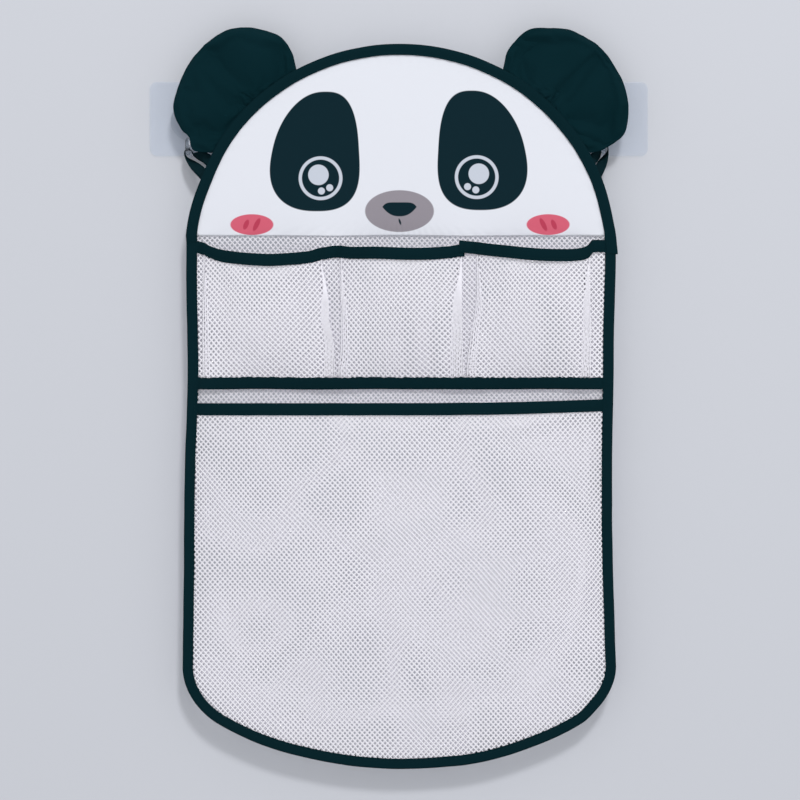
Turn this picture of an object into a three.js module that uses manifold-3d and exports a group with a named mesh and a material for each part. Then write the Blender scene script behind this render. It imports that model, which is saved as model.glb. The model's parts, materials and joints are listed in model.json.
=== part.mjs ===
// Hanging bath toy organizer: a stiff animal-face panel over a net bag with a row of three small
// pockets and one large pocket, two padded ears, and two ribbon loops on clear stick-on wall hooks.
// Millimetres, +Z up. The wall is the plane y = 0 and the front of the bag faces -Y.
// The origin is on the wall, midway between the two hook pads.
import * as THREE from "three";
import Module from "manifold-3d";

const wasm = await Module();
wasm.setup();

// Gap left between pieces that are sewn, glued or slipped together
const FIT = 0.3;

// Clear stick-on hooks, in line with the widest part of the head
const PAD_SIZE = 60;
const PAD_CORNER = 7;
const PAD_THICKNESS = 0.8;
const BASE_RADIUS = 11.5;
const BASE_RISE = 6;
const BASE_FOOT_RADIUS = 4;
const BASE_THICKNESS = 2.2;
const ARM_DROP = 25.5;
const ARM_RADIUS = 2.25;
const ARM_BEND = 3;
const TIP_RISE = 6.5;

// Ribbon loops sewn behind the edge of the head
const RIBBON_WIDTH = 10;
const GATHERED_WIDTH = 7;
const RIBBON_THICKNESS = 0.9;
const LOOP_ROOT_DROP = 22;
const LOOP_TAIL = 13;
const LOOP_LEAN = 30;
const LOOP_CLEARANCE = 1;

// Cloth, net, board and tape
const NET_THICKNESS = 0.6;
const TAPE_THICKNESS = 0.6;
const FACE_THICKNESS = 0.7;
const BOARD_THICKNESS = 1;
const LINING_THICKNESS = 0.7;
const BINDING_WIDTH = 8;
const POCKET_TAPE_WIDTH = 8.8;
const SEAM_WIDTH = 1.6;

// Head: the upper part of an ellipse, cut straight at the hem
const HEAD_WIDTH = 340;
const HEAD_HALF_HEIGHT = 163;
const HEAD_CROWN = 60;
const HEM_RISE = 10;

// Ears: a round outline that the edge of the head cuts into
const EAR_RADIUS = 55.5;
const EAR_OFFSET = 8.3;
const EAR_ANGLE = 43.4;
const EAR_CLOTH = 0.8;
const EAR_CROWN_FRONT = 6;
const EAR_CROWN_BACK = 2;
const EAR_HOOK_GAP = 0.6;
const earMiddleShare = 0.4;
const earFillingShare = 0.94;
const earSwellPower = 0.7;

// Net bag below the hem
const UPPER_HEIGHT = 128;
const LOWER_HEIGHT = 299;
const BAG_FLARE = 2.5;
const BOTTOM_RADIUS = 304;
const CORNER_RADIUS = 52;

// Pockets
const POCKET_COUNT = 3;
const UPPER_RIM_DROP = 6.5;
const UPPER_RIM_SAG = [8, 2.5, 5.5];
const UPPER_POCKET_DEPTH = 18;
const PLEAT_DEPTH = 2.5;
const PLEAT_REACH = 13;
const PLEAT_SPREAD = 4;
const BASE_TAPE_RISE = 10.2;
const LOWER_RIM_DROP = 6;
const LOWER_POCKET_DEPTH = 22;
const pocketSwellPower = 4;

// Share of a pocket panel, up from its foot, that lies flat under a tape
const tapedShare = 0.08;

// Diamond gaps of the flat back net, across and down each panel
const NET_ACROSS = 10;
const UPPER_NET_DOWN = 4;
const LOWER_NET_DOWN = 8;
const NET_OPENING = 0.78;

// Straight pieces that make up each curve
const fineness = {
  headEdge: 48,
  bagCorner: 8,
  bagBottom: 7,
  upperPocket: 24,
  upperRows: 6,
  lowerPocket: 26,
  lowerRows: 10,
  earRim: 32,
  earFillingRim: 28,
  earFrontRings: 5,
  earBackRings: 3,
  hookArm: 12,
  hookBend: 6,
  hookTip: 8,
  loopBend: 12,
  loopTop: 10,
  plateCurve: 6,
};

// Depths forward of the wall
const baseBack = PAD_THICKNESS + FIT;
const baseFront = baseBack + BASE_THICKNESS;
const ribbonBack = baseFront + FIT;
const ribbonFront = ribbonBack + GATHERED_WIDTH;
const tipAxis = ribbonFront + FIT + ARM_BEND;
const tipFront = tipAxis + ARM_RADIUS;
const earEdge = EAR_CLOTH + FIT / 2;
const clothDepth = tipFront + EAR_HOOK_GAP + EAR_CROWN_BACK + earEdge;

// Depths forward of the middle of the cloth
const headStack = LINING_THICKNESS + FIT + BOARD_THICKNESS + FIT + FACE_THICKNESS;
const stackBack = -headStack / 2;
const stackFront = headStack / 2;
const slotHalf = headStack / 2 + FIT;
const bindingHalf = slotHalf + TAPE_THICKNESS;
const netFrontMiddle = stackFront - NET_THICKNESS / 2;
const slotBottom = TAPE_THICKNESS + FIT;
const flangeInner = BINDING_WIDTH + FIT;

// Heights
const headCentreZ = HEAD_CROWN - HEAD_HALF_HEIGHT;
const hemZ = headCentreZ + HEM_RISE;
const foldZ = hemZ - UPPER_HEIGHT;
const bottomZ = foldZ - LOWER_HEIGHT;
const armZ = -ARM_DROP;
const upperRimZ = hemZ - UPPER_RIM_DROP;
const baseTapeZ = foldZ + BASE_TAPE_RISE;
const lowerRimZ = foldZ - LOWER_RIM_DROP;

// Outline of the bag
const headHalf = HEAD_WIDTH / 2;
const hookX = headHalf;
const hemHalf = headHalf * Math.sqrt(1 - (HEM_RISE / HEAD_HALF_HEIGHT) ** 2);
const cornerHalf = hemHalf + BAG_FLARE;
const bottomCentreZ = bottomZ + BOTTOM_RADIUS;
const cornerX = cornerHalf - CORNER_RADIUS;
const cornerReach = BOTTOM_RADIUS - CORNER_RADIUS;
const cornerZ = bottomCentreZ - Math.sqrt(cornerReach ** 2 - cornerX ** 2);
const cornerAngle = Math.atan2(cornerX, bottomCentreZ - cornerZ);
const innerHalf = hemHalf - flangeInner;
const pocketWidth = (2 * innerHalf) / POCKET_COUNT;

const colours = {
  clear: { color: 0xd5dde4, roughness: 0.08, metalness: 0, transparent: true, opacity: 0.45 },
  dark: { color: 0x0c262c, roughness: 0.85, metalness: 0 },
  ear: { color: 0x0a2429, roughness: 0.9, metalness: 0 },
  face: { color: 0xe9ebf1, roughness: 0.8, metalness: 0 },
  board: { color: 0xdcdedf, roughness: 0.5, metalness: 0 },
  net: { color: 0xe4e6eb, roughness: 0.75, metalness: 0 },
  filling: { color: 0xf2f2f0, roughness: 0.95, metalness: 0 },
};

const vector = (x, y, z) => new THREE.Vector3(x, y, z);
const mix = THREE.MathUtils.lerp;
const clamp = THREE.MathUtils.clamp;
const radians = THREE.MathUtils.degToRad;
const range = (count) => Array.from({ length: count + 1 }, (_, i) => i / count);

// A closed body from points and triangles, turned so that its faces point out
function closedBody(points, triangles) {
  let volume = 0;
  for (const [a, b, c] of triangles) {
    volume += points[a].dot(points[b].clone().cross(points[c]));
  }
  const facing = volume > 0 ? triangles : triangles.map(([a, b, c]) => [a, c, b]);
  const geometry = new THREE.BufferGeometry().setFromPoints(points);
  geometry.setIndex(facing.flat());
  geometry.computeVertexNormals();
  return geometry;
}

// Carries an anticlockwise section along frames of point, normal and side, with both ends capped
function sweep(frames, section) {
  const points = frames.flatMap(({ p, n, b }) =>
    section.map(([s, t]) => p.clone().addScaledVector(n, s).addScaledVector(b, t)));
  const count = section.length;
  const triangles = [];
  for (let i = 0; i + 1 < frames.length; i++) {
    for (let k = 0; k < count; k++) {
      const a = i * count + k;
      const b = i * count + ((k + 1) % count);
      triangles.push([a, b, b + count], [a, b + count, a + count]);
    }
  }
  const contour = section.map(([s, t]) => new THREE.Vector2(s, t));
  const last = (frames.length - 1) * count;
  for (const [a, b, c] of THREE.ShapeUtils.triangulateShape(contour, [])) {
    triangles.push([a, c, b], [last + a, last + b, last + c]);
  }
  return closedBody(points, triangles);
}

// A flat plate with the given contour in x and z, from one depth to another
function plate(contour, back, front) {
  const shape = contour instanceof THREE.Shape ? contour : new THREE.Shape(contour);
  const geometry = new THREE.ExtrudeGeometry(shape, {
    depth: front - back,
    bevelEnabled: false,
    curveSegments: fineness.plateCurve,
  });
  geometry.rotateX(Math.PI / 2);
  geometry.translate(0, -back, 0);
  return geometry;
}

// Front and back points of a sheet whose middle is surface(u, v), u and v from 0 to 1
function sheetPoints(surface, thickness, u, v) {
  const step = 1e-4;
  const [u0, u1] = [Math.max(0, u - step), Math.min(1, u + step)];
  const [v0, v1] = [Math.max(0, v - step), Math.min(1, v + step)];
  const across = surface(u1, v).sub(surface(u0, v));
  const along = surface(u, v1).sub(surface(u, v0));
  const normal = across.cross(along).normalize();
  const middle = surface(u, v);
  return [1, -1].map((side) => middle.clone().addScaledVector(normal, (side * thickness) / 2));
}

// A plain curved sheet over a grid of u and v values
function sheet(us, vs, surface, thickness) {
  const points = [];
  for (const v of vs) {
    for (const u of us) {
      points.push(...sheetPoints(surface, thickness, u, v));
    }
  }
  const at = (i, j, side) => 2 * (j * us.length + i) + side;
  const triangles = [];
  const quad = (a, b, c, d) => triangles.push([a, b, c], [a, c, d]);
  const [m, n] = [us.length - 1, vs.length - 1];
  for (let j = 0; j < n; j++) {
    for (let i = 0; i < m; i++) {
      quad(at(i, j, 0), at(i + 1, j, 0), at(i + 1, j + 1, 0), at(i, j + 1, 0));
      quad(at(i, j, 1), at(i, j + 1, 1), at(i + 1, j + 1, 1), at(i + 1, j, 1));
    }
    quad(at(0, j, 0), at(0, j + 1, 0), at(0, j + 1, 1), at(0, j, 1));
    quad(at(m, j, 0), at(m, j, 1), at(m, j + 1, 1), at(m, j + 1, 0));
  }
  for (let i = 0; i < m; i++) {
    quad(at(i, 0, 0), at(i, 0, 1), at(i + 1, 0, 1), at(i + 1, 0, 0));
    quad(at(i, n, 0), at(i + 1, n, 0), at(i + 1, n, 1), at(i, n, 1));
  }
  return closedBody(points, triangles);
}

// A net of crossing diagonal strands over the same kind of sheet, with diamond gaps between them
function net(across, down, opening, surface, thickness) {
  const points = [];
  const triangles = [];
  const quad = (a, b, c, d) => triangles.push([a, b, c], [a, c, d]);
  const place = (i, j) => {
    points.push(...sheetPoints(surface, thickness, i / (2 * across), j / (2 * down)));
    return points.length - 2;
  };
  const knots = new Map();
  const knot = (i, j) => {
    const key = `${i},${j}`;
    if (!knots.has(key)) {
      knots.set(key, place(i, j));
    }
    return knots.get(key);
  };
  const corners = [[1, 0], [0, 1], [-1, 0], [0, -1]];
  const inside = (i, j) => i >= 0 && j >= 0 && i <= 2 * across && j <= 2 * down;
  for (let j = 0; j <= 2 * down; j++) {
    for (let i = 0; i <= 2 * across; i++) {
      if ((i + j) % 2 === 0) {
        continue;
      }
      const around = corners.filter(([di, dj]) => inside(i + di, j + dj));
      if (around.length === 4) {
        const outer = corners.map(([di, dj]) => knot(i + di, j + dj));
        const inner = corners.map(([di, dj]) => place(i + di * opening, j + dj * opening));
        for (let k = 0; k < 4; k++) {
          const next = (k + 1) % 4;
          quad(outer[k], outer[next], inner[next], inner[k]);
          quad(outer[k] + 1, inner[k] + 1, inner[next] + 1, outer[next] + 1);
          quad(inner[k], inner[next], inner[next] + 1, inner[k] + 1);
        }
        continue;
      }
      const missing = corners.findIndex(([di, dj]) => !inside(i + di, j + dj));
      const [a, b, c] = [1, 2, 3].map((step) => {
        const [di, dj] = corners[(missing + step) % 4];
        return knot(i + di, j + dj);
      });
      triangles.push([a, b, c], [a + 1, c + 1, b + 1]);
      quad(c, c + 1, a + 1, a);
    }
  }
  return closedBody(points, triangles);
}

// Half-width of the bag below the hem, over the binding
function sideHalf(z) {
  return mix(hemHalf, cornerHalf, clamp((hemZ - z) / (hemZ - cornerZ), 0, 1));
}

// Lower edge of the bag at x, moved inward
function lowerEdge(x, inset) {
  const away = Math.abs(x);
  if (away <= Math.sin(cornerAngle) * (BOTTOM_RADIUS - inset)) {
    return bottomCentreZ - Math.sqrt((BOTTOM_RADIUS - inset) ** 2 - away ** 2);
  }
  const rest = Math.max(0, (CORNER_RADIUS - inset) ** 2 - (away - cornerX) ** 2);
  return cornerZ - Math.sqrt(rest);
}

// Edge of the head from right to left as points with outward normals
function headEdge() {
  const start = Math.asin(HEM_RISE / HEAD_HALF_HEIGHT);
  return range(fineness.headEdge).map((t) => {
    const angle = mix(start, Math.PI - start, t);
    const p = vector(headHalf * Math.cos(angle), 0, headCentreZ + HEAD_HALF_HEIGHT * Math.sin(angle));
    const n = vector(Math.cos(angle) / headHalf, 0, Math.sin(angle) / HEAD_HALF_HEIGHT).normalize();
    if (t === 0 || t === 1) {
      n.set(Math.sign(p.x), 0, 0);
    }
    return { p, n };
  });
}

// Edge of the lower bag from the right end of the fold round the bottom to the left end
function lowerBagEdge() {
  const half = [{ p: vector(sideHalf(foldZ), 0, foldZ - FIT / 2), n: vector(1, 0, 0) }];
  for (const t of range(fineness.bagCorner)) {
    const angle = mix(Math.PI / 2, cornerAngle, t);
    const n = vector(Math.sin(angle), 0, -Math.cos(angle));
    half.push({ p: vector(cornerX, 0, cornerZ).addScaledVector(n, CORNER_RADIUS), n });
  }
  for (const t of range(fineness.bagBottom).slice(1)) {
    const angle = mix(cornerAngle, 0, t);
    const n = vector(Math.sin(angle), 0, -Math.cos(angle));
    half.push({ p: vector(0, 0, bottomCentreZ).addScaledVector(n, BOTTOM_RADIUS), n });
  }
  const mirrored = half.slice(0, -1).reverse().map(({ p, n }) => ({
    p: vector(-p.x, 0, p.z),
    n: vector(-n.x, 0, n.z),
  }));
  return [...half, ...mirrored];
}

const insetContour = (edge, inset) =>
  edge.map(({ p, n }) => new THREE.Vector2(p.x - n.x * inset, p.z - n.z * inset));

// Folded tape round an edge: the closed side is at 0 and the two flanges reach inward
const bindingSection = [
  [0, -bindingHalf],
  [0, bindingHalf],
  [-BINDING_WIDTH, bindingHalf],
  [-BINDING_WIDTH, slotHalf],
  [-TAPE_THICKNESS, slotHalf],
  [-TAPE_THICKNESS, -slotHalf],
  [-BINDING_WIDTH, -slotHalf],
  [-BINDING_WIDTH, -bindingHalf],
];

function bindEdge(edge) {
  const frames = edge.map(({ p, n }) => ({ p, n, b: vector(0, 1, 0) }));
  return sweep(frames, bindingSection);
}

// Folded tape over the top edge of a pocket, whose net ends at 0
const rimHalf = NET_THICKNESS / 2 + FIT + TAPE_THICKNESS;
const rimSlot = rimHalf - TAPE_THICKNESS;
const rimTop = FIT + TAPE_THICKNESS;
const rimFoot = rimTop - POCKET_TAPE_WIDTH;
const rimSection = [
  [-rimHalf, rimFoot],
  [-rimSlot, rimFoot],
  [-rimSlot, FIT],
  [rimSlot, FIT],
  [rimSlot, rimFoot],
  [rimHalf, rimFoot],
  [rimHalf, rimTop],
  [-rimHalf, rimTop],
];

function bindRim(rim, samples) {
  const step = 0.01;
  const frames = samples.map((x) => {
    const after = rim(Math.min(innerHalf, x + step));
    const tangent = after.sub(rim(Math.max(-innerHalf, x - step)));
    const n = vector(tangent.y, -tangent.x, 0).normalize();
    return { p: rim(x), n, b: vector(0, 0, 1) };
  });
  return sweep(frames, rimSection);
}

// Height at v in a panel whose taped foot ends at the height edge
function panelHeight(foot, edge, top, v) {
  if (v < tapedShare) {
    return mix(foot, edge, v / tapedShare);
  }
  return mix(edge, top, (v - tapedShare) / (1 - tapedShare));
}

const panelRows = (count) => [0, ...range(count).map((t) => mix(tapedShare, 1, t))];

// Row of upper pockets: each swells forward between the seams, most at its mouth, with a pleat
// standing along both of its seams
const upperFootZ = baseTapeZ + POCKET_TAPE_WIDTH / 2 + FIT;

function upperRim(x) {
  const place = clamp((x + innerHalf) / pocketWidth, 0, POCKET_COUNT);
  const index = Math.min(POCKET_COUNT - 1, Math.floor(place));
  const sag = UPPER_RIM_SAG[index % UPPER_RIM_SAG.length];
  return upperRimZ - rimTop - sag * Math.sin(Math.PI * (place - index)) ** 2;
}

function upperDepth(x, z) {
  if (Math.abs(x) >= innerHalf) {
    return netFrontMiddle;
  }
  const rise = clamp((z - upperFootZ) / (upperRim(x) - upperFootZ), 0, 1);
  const swell = 1 - Math.cos((Math.PI * (x + innerHalf)) / pocketWidth) ** pocketSwellPower;
  const seam = Math.round((x + innerHalf) / pocketWidth) * pocketWidth - innerHalf;
  const pleat = Math.exp(-(((Math.abs(x - seam) - PLEAT_REACH) / PLEAT_SPREAD) ** 2));
  const fold = PLEAT_DEPTH * pleat * Math.sqrt(rise);
  return netFrontMiddle + UPPER_POCKET_DEPTH * swell * Math.sin((rise * Math.PI) / 2) + fold;
}

function upperPocket(u, v) {
  const x = (2 * u - 1) * (hemHalf - slotBottom);
  const z = panelHeight(baseTapeZ - POCKET_TAPE_WIDTH / 4, upperFootZ, upperRim(x), v);
  return vector(x, -upperDepth(x, z), z);
}

// Large lower pocket: one swell over the whole width, most at its mouth
function flangeEdge(x) {
  const reach = cornerHalf - flangeInner;
  return lowerEdge(clamp(x, -reach, reach), flangeInner);
}

function lowerDepth(x, z) {
  const side = sideHalf(z) - flangeInner;
  const foot = flangeEdge(x);
  if (Math.abs(x) >= side || z <= foot) {
    return netFrontMiddle;
  }
  const rise = clamp((z - foot) / (lowerRimZ - rimTop - foot), 0, 1);
  const swell = 1 - (x / side) ** pocketSwellPower;
  return netFrontMiddle + LOWER_POCKET_DEPTH * swell * Math.sin((rise * Math.PI) / 2);
}

function lowerPocket(u, v) {
  const place = 2 * u - 1;
  const low = place * (cornerHalf - slotBottom);
  const foot = lowerEdge(low, slotBottom);
  const edge = Math.max(flangeEdge(low), foot + flangeInner - slotBottom);
  const z = panelHeight(foot, edge, lowerRimZ - rimTop, v);
  const x = place * (sideHalf(z) - slotBottom);
  return vector(x, -lowerDepth(x, z), z);
}

// Outline of the right ear from its middle: a circle that stops short of the edge of the head
const earDirection = new THREE.Vector2(Math.cos(radians(EAR_ANGLE)), Math.sin(radians(EAR_ANGLE)));
const headReach = 1 / Math.hypot(earDirection.x / headHalf, earDirection.y / HEAD_HALF_HEIGHT);
const headCentre = new THREE.Vector2(0, headCentreZ);
const earRoot = headCentre.clone().addScaledVector(earDirection, headReach);
const earCircle = earRoot.clone().addScaledVector(earDirection, EAR_OFFSET);
const earMiddle = earCircle.clone().addScaledVector(earDirection, EAR_RADIUS * earMiddleShare);

function rayToEllipse(from, direction, centre, halfX, halfZ, far) {
  const [px, pz] = [(from.x - centre.x) / halfX, (from.y - centre.y) / halfZ];
  const [dx, dz] = [direction.x / halfX, direction.y / halfZ];
  const a = dx * dx + dz * dz;
  const b = px * dx + pz * dz;
  const root = b * b - a * (px * px + pz * pz - 1);
  if (root < 0) {
    return Infinity;
  }
  const reach = (-b + (far ? 1 : -1) * Math.sqrt(root)) / a;
  return reach > 0 ? reach : Infinity;
}

function earOutline(angle) {
  const direction = new THREE.Vector2(Math.cos(angle), Math.sin(angle));
  const rim = rayToEllipse(earMiddle, direction, earCircle, EAR_RADIUS, EAR_RADIUS, true);
  const [halfX, halfZ] = [headHalf + FIT, HEAD_HALF_HEIGHT + FIT];
  const head = rayToEllipse(earMiddle, direction, headCentre, halfX, halfZ, false);
  return earMiddle.clone().addScaledVector(direction, Math.min(rim, head));
}

// A crowned pad over the ear outline between two depths that change from the middle to the rim
function earPad(rings, segments, reach, front, back) {
  const points = [];
  const triangles = [];
  const quad = (a, b, c, d) => triangles.push([a, b, c], [a, c, d]);
  const at = (ring, k, side) => 2 + 2 * ((ring - 1) * segments + (k % segments)) + side;
  points.push(vector(earMiddle.x, -front(0), earMiddle.y));
  points.push(vector(earMiddle.x, -back(0), earMiddle.y));
  for (let ring = 1; ring <= rings; ring++) {
    const out = Math.sin((ring / rings) * (Math.PI / 2)) * reach;
    for (let k = 0; k < segments; k++) {
      const p = earMiddle.clone().lerp(earOutline((2 * Math.PI * k) / segments), out);
      points.push(vector(p.x, -front(out), p.y), vector(p.x, -back(out), p.y));
    }
  }
  for (let k = 0; k < segments; k++) {
    triangles.push([0, at(1, k, 0), at(1, k + 1, 0)], [1, at(1, k + 1, 1), at(1, k, 1)]);
    for (let ring = 1; ring < rings; ring++) {
      quad(at(ring, k, 0), at(ring + 1, k, 0), at(ring + 1, k + 1, 0), at(ring, k + 1, 0));
      quad(at(ring, k, 1), at(ring, k + 1, 1), at(ring + 1, k + 1, 1), at(ring + 1, k, 1));
    }
    quad(at(rings, k, 0), at(rings, k, 1), at(rings, k + 1, 1), at(rings, k + 1, 0));
  }
  return closedBody(points, triangles);
}

const earSwell = (out) => Math.max(0, 1 - out * out) ** earSwellPower;
const earFront = (out) => earEdge + EAR_CROWN_FRONT * earSwell(out);
const earBack = (out) => -earEdge - EAR_CROWN_BACK * earSwell(out);

// Clear film pad with rounded corners, centred on the hook
function padGeometry() {
  const half = PAD_SIZE / 2;
  const inner = half - PAD_CORNER;
  const shape = new THREE.Shape();
  shape.absarc(inner, inner, PAD_CORNER, 0, Math.PI / 2);
  shape.absarc(-inner, inner, PAD_CORNER, Math.PI / 2, Math.PI);
  shape.absarc(-inner, -inner, PAD_CORNER, Math.PI, 1.5 * Math.PI);
  shape.absarc(inner, -inner, PAD_CORNER, 1.5 * Math.PI, 2 * Math.PI);
  return plate(shape, 0, PAD_THICKNESS);
}

function toManifold(geometry) {
  const places = new Map();
  const vertices = [];
  const position = geometry.getAttribute("position");
  const index = geometry.getIndex();
  const count = index ? index.count : position.count;
  const triVerts = new Uint32Array(count);
  for (let i = 0; i < count; i++) {
    const p = vector(0, 0, 0).fromBufferAttribute(position, index ? index.getX(i) : i);
    const key = p.toArray().map((value) => Math.round(value * 1e4)).join(",");
    if (!places.has(key)) {
      places.set(key, vertices.length / 3);
      vertices.push(p.x, p.y, p.z);
    }
    triVerts[i] = places.get(key);
  }
  const mesh = new wasm.Mesh({ numProp: 3, vertProperties: new Float32Array(vertices), triVerts });
  return new wasm.Manifold(mesh);
}

function fromManifold(manifold) {
  const mesh = manifold.getMesh();
  const points = [];
  for (let i = 0; i < mesh.vertProperties.length; i += mesh.numProp) {
    points.push(vector(...mesh.vertProperties.slice(i, i + 3)));
  }
  const triangles = [];
  for (let i = 0; i < mesh.triVerts.length; i += 3) {
    triangles.push([...mesh.triVerts.slice(i, i + 3)]);
  }
  return closedBody(points, triangles);
}

// One-piece clear hook: a tapering base plate with a round arm that turns up at its end
function hookGeometry() {
  const span = BASE_RISE - armZ;
  const lean = Math.asin((BASE_RADIUS - BASE_FOOT_RADIUS) / span);
  const shape = new THREE.Shape();
  shape.absarc(0, BASE_RISE, BASE_RADIUS, -lean, Math.PI + lean);
  shape.absarc(0, armZ, BASE_FOOT_RADIUS, Math.PI + lean, 2 * Math.PI - lean);
  const base = toManifold(plate(shape, baseBack, baseFront));
  const section = range(fineness.hookArm).slice(1).map((t) => [
    ARM_RADIUS * Math.cos(2 * Math.PI * t),
    ARM_RADIUS * Math.sin(2 * Math.PI * t),
  ]);
  const side = vector(1, 0, 0);
  const frames = [baseFront - BASE_THICKNESS / 2, tipAxis - ARM_BEND].map((depth) => ({
    p: vector(0, -depth, armZ),
    n: vector(0, 0, 1),
    b: side,
  }));
  for (const t of range(fineness.hookBend).slice(1)) {
    const angle = (t * Math.PI) / 2;
    const n = vector(0, Math.sin(angle), Math.cos(angle));
    const p = vector(0, ARM_BEND - tipAxis, armZ + ARM_BEND).addScaledVector(n, -ARM_BEND);
    frames.push({ p, n, b: side });
  }
  frames.push({ p: vector(0, -tipAxis, armZ + TIP_RISE), n: vector(0, 1, 0), b: side });
  const arm = toManifold(sweep(frames, section));
  const ball = new THREE.SphereGeometry(ARM_RADIUS, fineness.hookArm, fineness.hookTip);
  ball.translate(0, -tipAxis, armZ + TIP_RISE);
  return fromManifold(base.add(arm).add(toManifold(ball)));
}

// Right ribbon loop, from the wall: two stacked tails behind the edge of the head that turn a quarter
// and part to pass each side of the hook arm
function loopGeometry() {
  const rootZ = armZ - LOOP_ROOT_DROP;
  const rootX = headHalf * Math.sqrt(1 - ((rootZ - headCentreZ) / HEAD_HALF_HEIGHT) ** 2);
  const lift = RIBBON_THICKNESS + FIT / 2;
  const tailDepth = clothDepth - bindingHalf - FIT - lift;
  const lean = vector(Math.sin(radians(LOOP_LEAN)), 0, Math.cos(radians(LOOP_LEAN)));
  const root = vector(rootX, -tailDepth, rootZ);
  const tail = root.clone().addScaledVector(lean, -LOOP_TAIL);
  const straight = TIP_RISE + ARM_RADIUS + LOOP_CLEARANCE;
  const top = vector(hookX, -(ribbonBack + ribbonFront) / 2, armZ);
  const turn = top.clone().add(vector(0, 0, -straight));
  const handle = root.distanceTo(turn) / 3;
  const bend = new THREE.CubicBezierCurve3(
    root,
    root.clone().addScaledVector(lean, handle),
    turn.clone().add(vector(0, 0, -handle)),
    turn,
  );
  const gathered = GATHERED_WIDTH / RIBBON_WIDTH;
  const closeHalf = (RIBBON_THICKNESS + FIT) / 2;
  const openHalf = ARM_RADIUS + FIT + RIBBON_THICKNESS / 2;
  const rise = [{ p: tail, along: lean, twist: 0 }, { p: root, along: lean, twist: 0 }];
  for (const t of range(fineness.loopBend).slice(1)) {
    const twist = THREE.MathUtils.smoothstep(t, 0, 1);
    rise.push({ p: bend.getPoint(t), along: bend.getTangent(t), twist });
  }
  rise.push({ p: top, along: vector(0, 0, 1), twist: 1 });
  const legs = rise.map(({ p, along, twist }) => {
    const flat = vector(along.z, 0, -along.x).normalize();
    const forward = vector(0, -1, 0);
    const angle = (twist * Math.PI) / 2;
    const [even, turned] = [Math.cos(angle), Math.sin(angle)];
    const apart = forward.clone().multiplyScalar(even).addScaledVector(flat, turned);
    const wide = flat.clone().multiplyScalar(even).addScaledVector(forward, -turned);
    wide.multiplyScalar(mix(1, gathered, twist));
    return { p, apart, wide, half: mix(closeHalf, openHalf, twist) };
  });
  const leg = (sign) => legs.map(({ p, apart, wide, half }) => ({
    p: p.clone().addScaledVector(apart, sign * half),
    n: apart.clone().multiplyScalar(sign),
    b: wide,
  }));
  const over = range(fineness.loopTop).slice(1, -1).map((t) => {
    const n = vector(Math.cos(Math.PI * t), 0, Math.sin(Math.PI * t));
    return { p: top.clone().addScaledVector(n, openHalf), n, b: vector(0, gathered, 0) };
  });
  const frames = [...leg(1), ...over, ...leg(-1).reverse()];
  const [thick, wide] = [RIBBON_THICKNESS / 2, RIBBON_WIDTH / 2];
  return sweep(frames, [[-thick, -wide], [thick, -wide], [thick, wide], [-thick, wide]]);
}

function piece(parent, name, geometry, look, place) {
  const mesh = new THREE.Mesh(geometry, new THREE.MeshStandardMaterial(colours[look]));
  mesh.name = name;
  if (place) {
    mesh.position.copy(place);
  }
  parent.add(mesh);
  return mesh;
}

function group(parent, name) {
  const child = new THREE.Group();
  child.name = name;
  parent.add(child);
  return child;
}

const sides = [["left", -1], ["right", 1]];
const organizer = new THREE.Group();
organizer.name = "bath_toy_organizer";

// Wall side: film pads and hooks
const wallHooks = group(organizer, "wall_hooks");
for (const [side, sign] of sides) {
  const place = vector(sign * hookX, 0, 0);
  piece(wallHooks, `${side}_hook_pad`, padGeometry(), "clear", place);
  piece(wallHooks, `${side}_hook`, hookGeometry(), "clear", place);
}

// Head: printed face, stiffening board and lining in one folded edge tape, with the two loops
const cloth = group(organizer, "cloth");
cloth.position.set(0, -clothDepth, 0);
const head = group(cloth, "head");
const headContour = insetContour(headEdge(), slotBottom);
const boardBack = stackBack + LINING_THICKNESS + FIT;
piece(head, "face_panel", plate(headContour, stackFront - FACE_THICKNESS, stackFront), "face");
piece(head, "head_board", plate(headContour, boardBack, boardBack + BOARD_THICKNESS), "board");
piece(head, "head_back_panel", plate(headContour, stackBack, stackBack + LINING_THICKNESS), "face");
piece(head, "head_binding", bindEdge(headEdge()), "dark");
for (const [side, sign] of sides) {
  const loop = piece(head, `${side}_hanging_loop`, loopGeometry(), "dark", vector(0, clothDepth, 0));
  loop.scale.x = sign;
}

// Ears: two crowned covers sewn at the rim round a filling
for (const [side, sign] of sides) {
  const ear = group(cloth, `${side}_ear`);
  ear.scale.x = sign;
  const { earRim, earFillingRim, earFrontRings, earBackRings } = fineness;
  const frontInside = (out) => earFront(out) - EAR_CLOTH;
  const backInside = (out) => earBack(out) + EAR_CLOTH;
  const fillFront = (out) => frontInside(out) - FIT;
  const fillBack = (out) => backInside(out) + FIT;
  const front = earPad(earFrontRings, earRim, 1, earFront, frontInside);
  const back = earPad(earBackRings, earRim, 1, backInside, earBack);
  const filling = earPad(earBackRings, earFillingRim, earFillingShare, fillFront, fillBack);
  piece(ear, `${side}_ear_front`, front, "ear");
  piece(ear, `${side}_ear_back`, back, "ear");
  piece(ear, `${side}_ear_filling`, filling, "filling");
}

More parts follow.
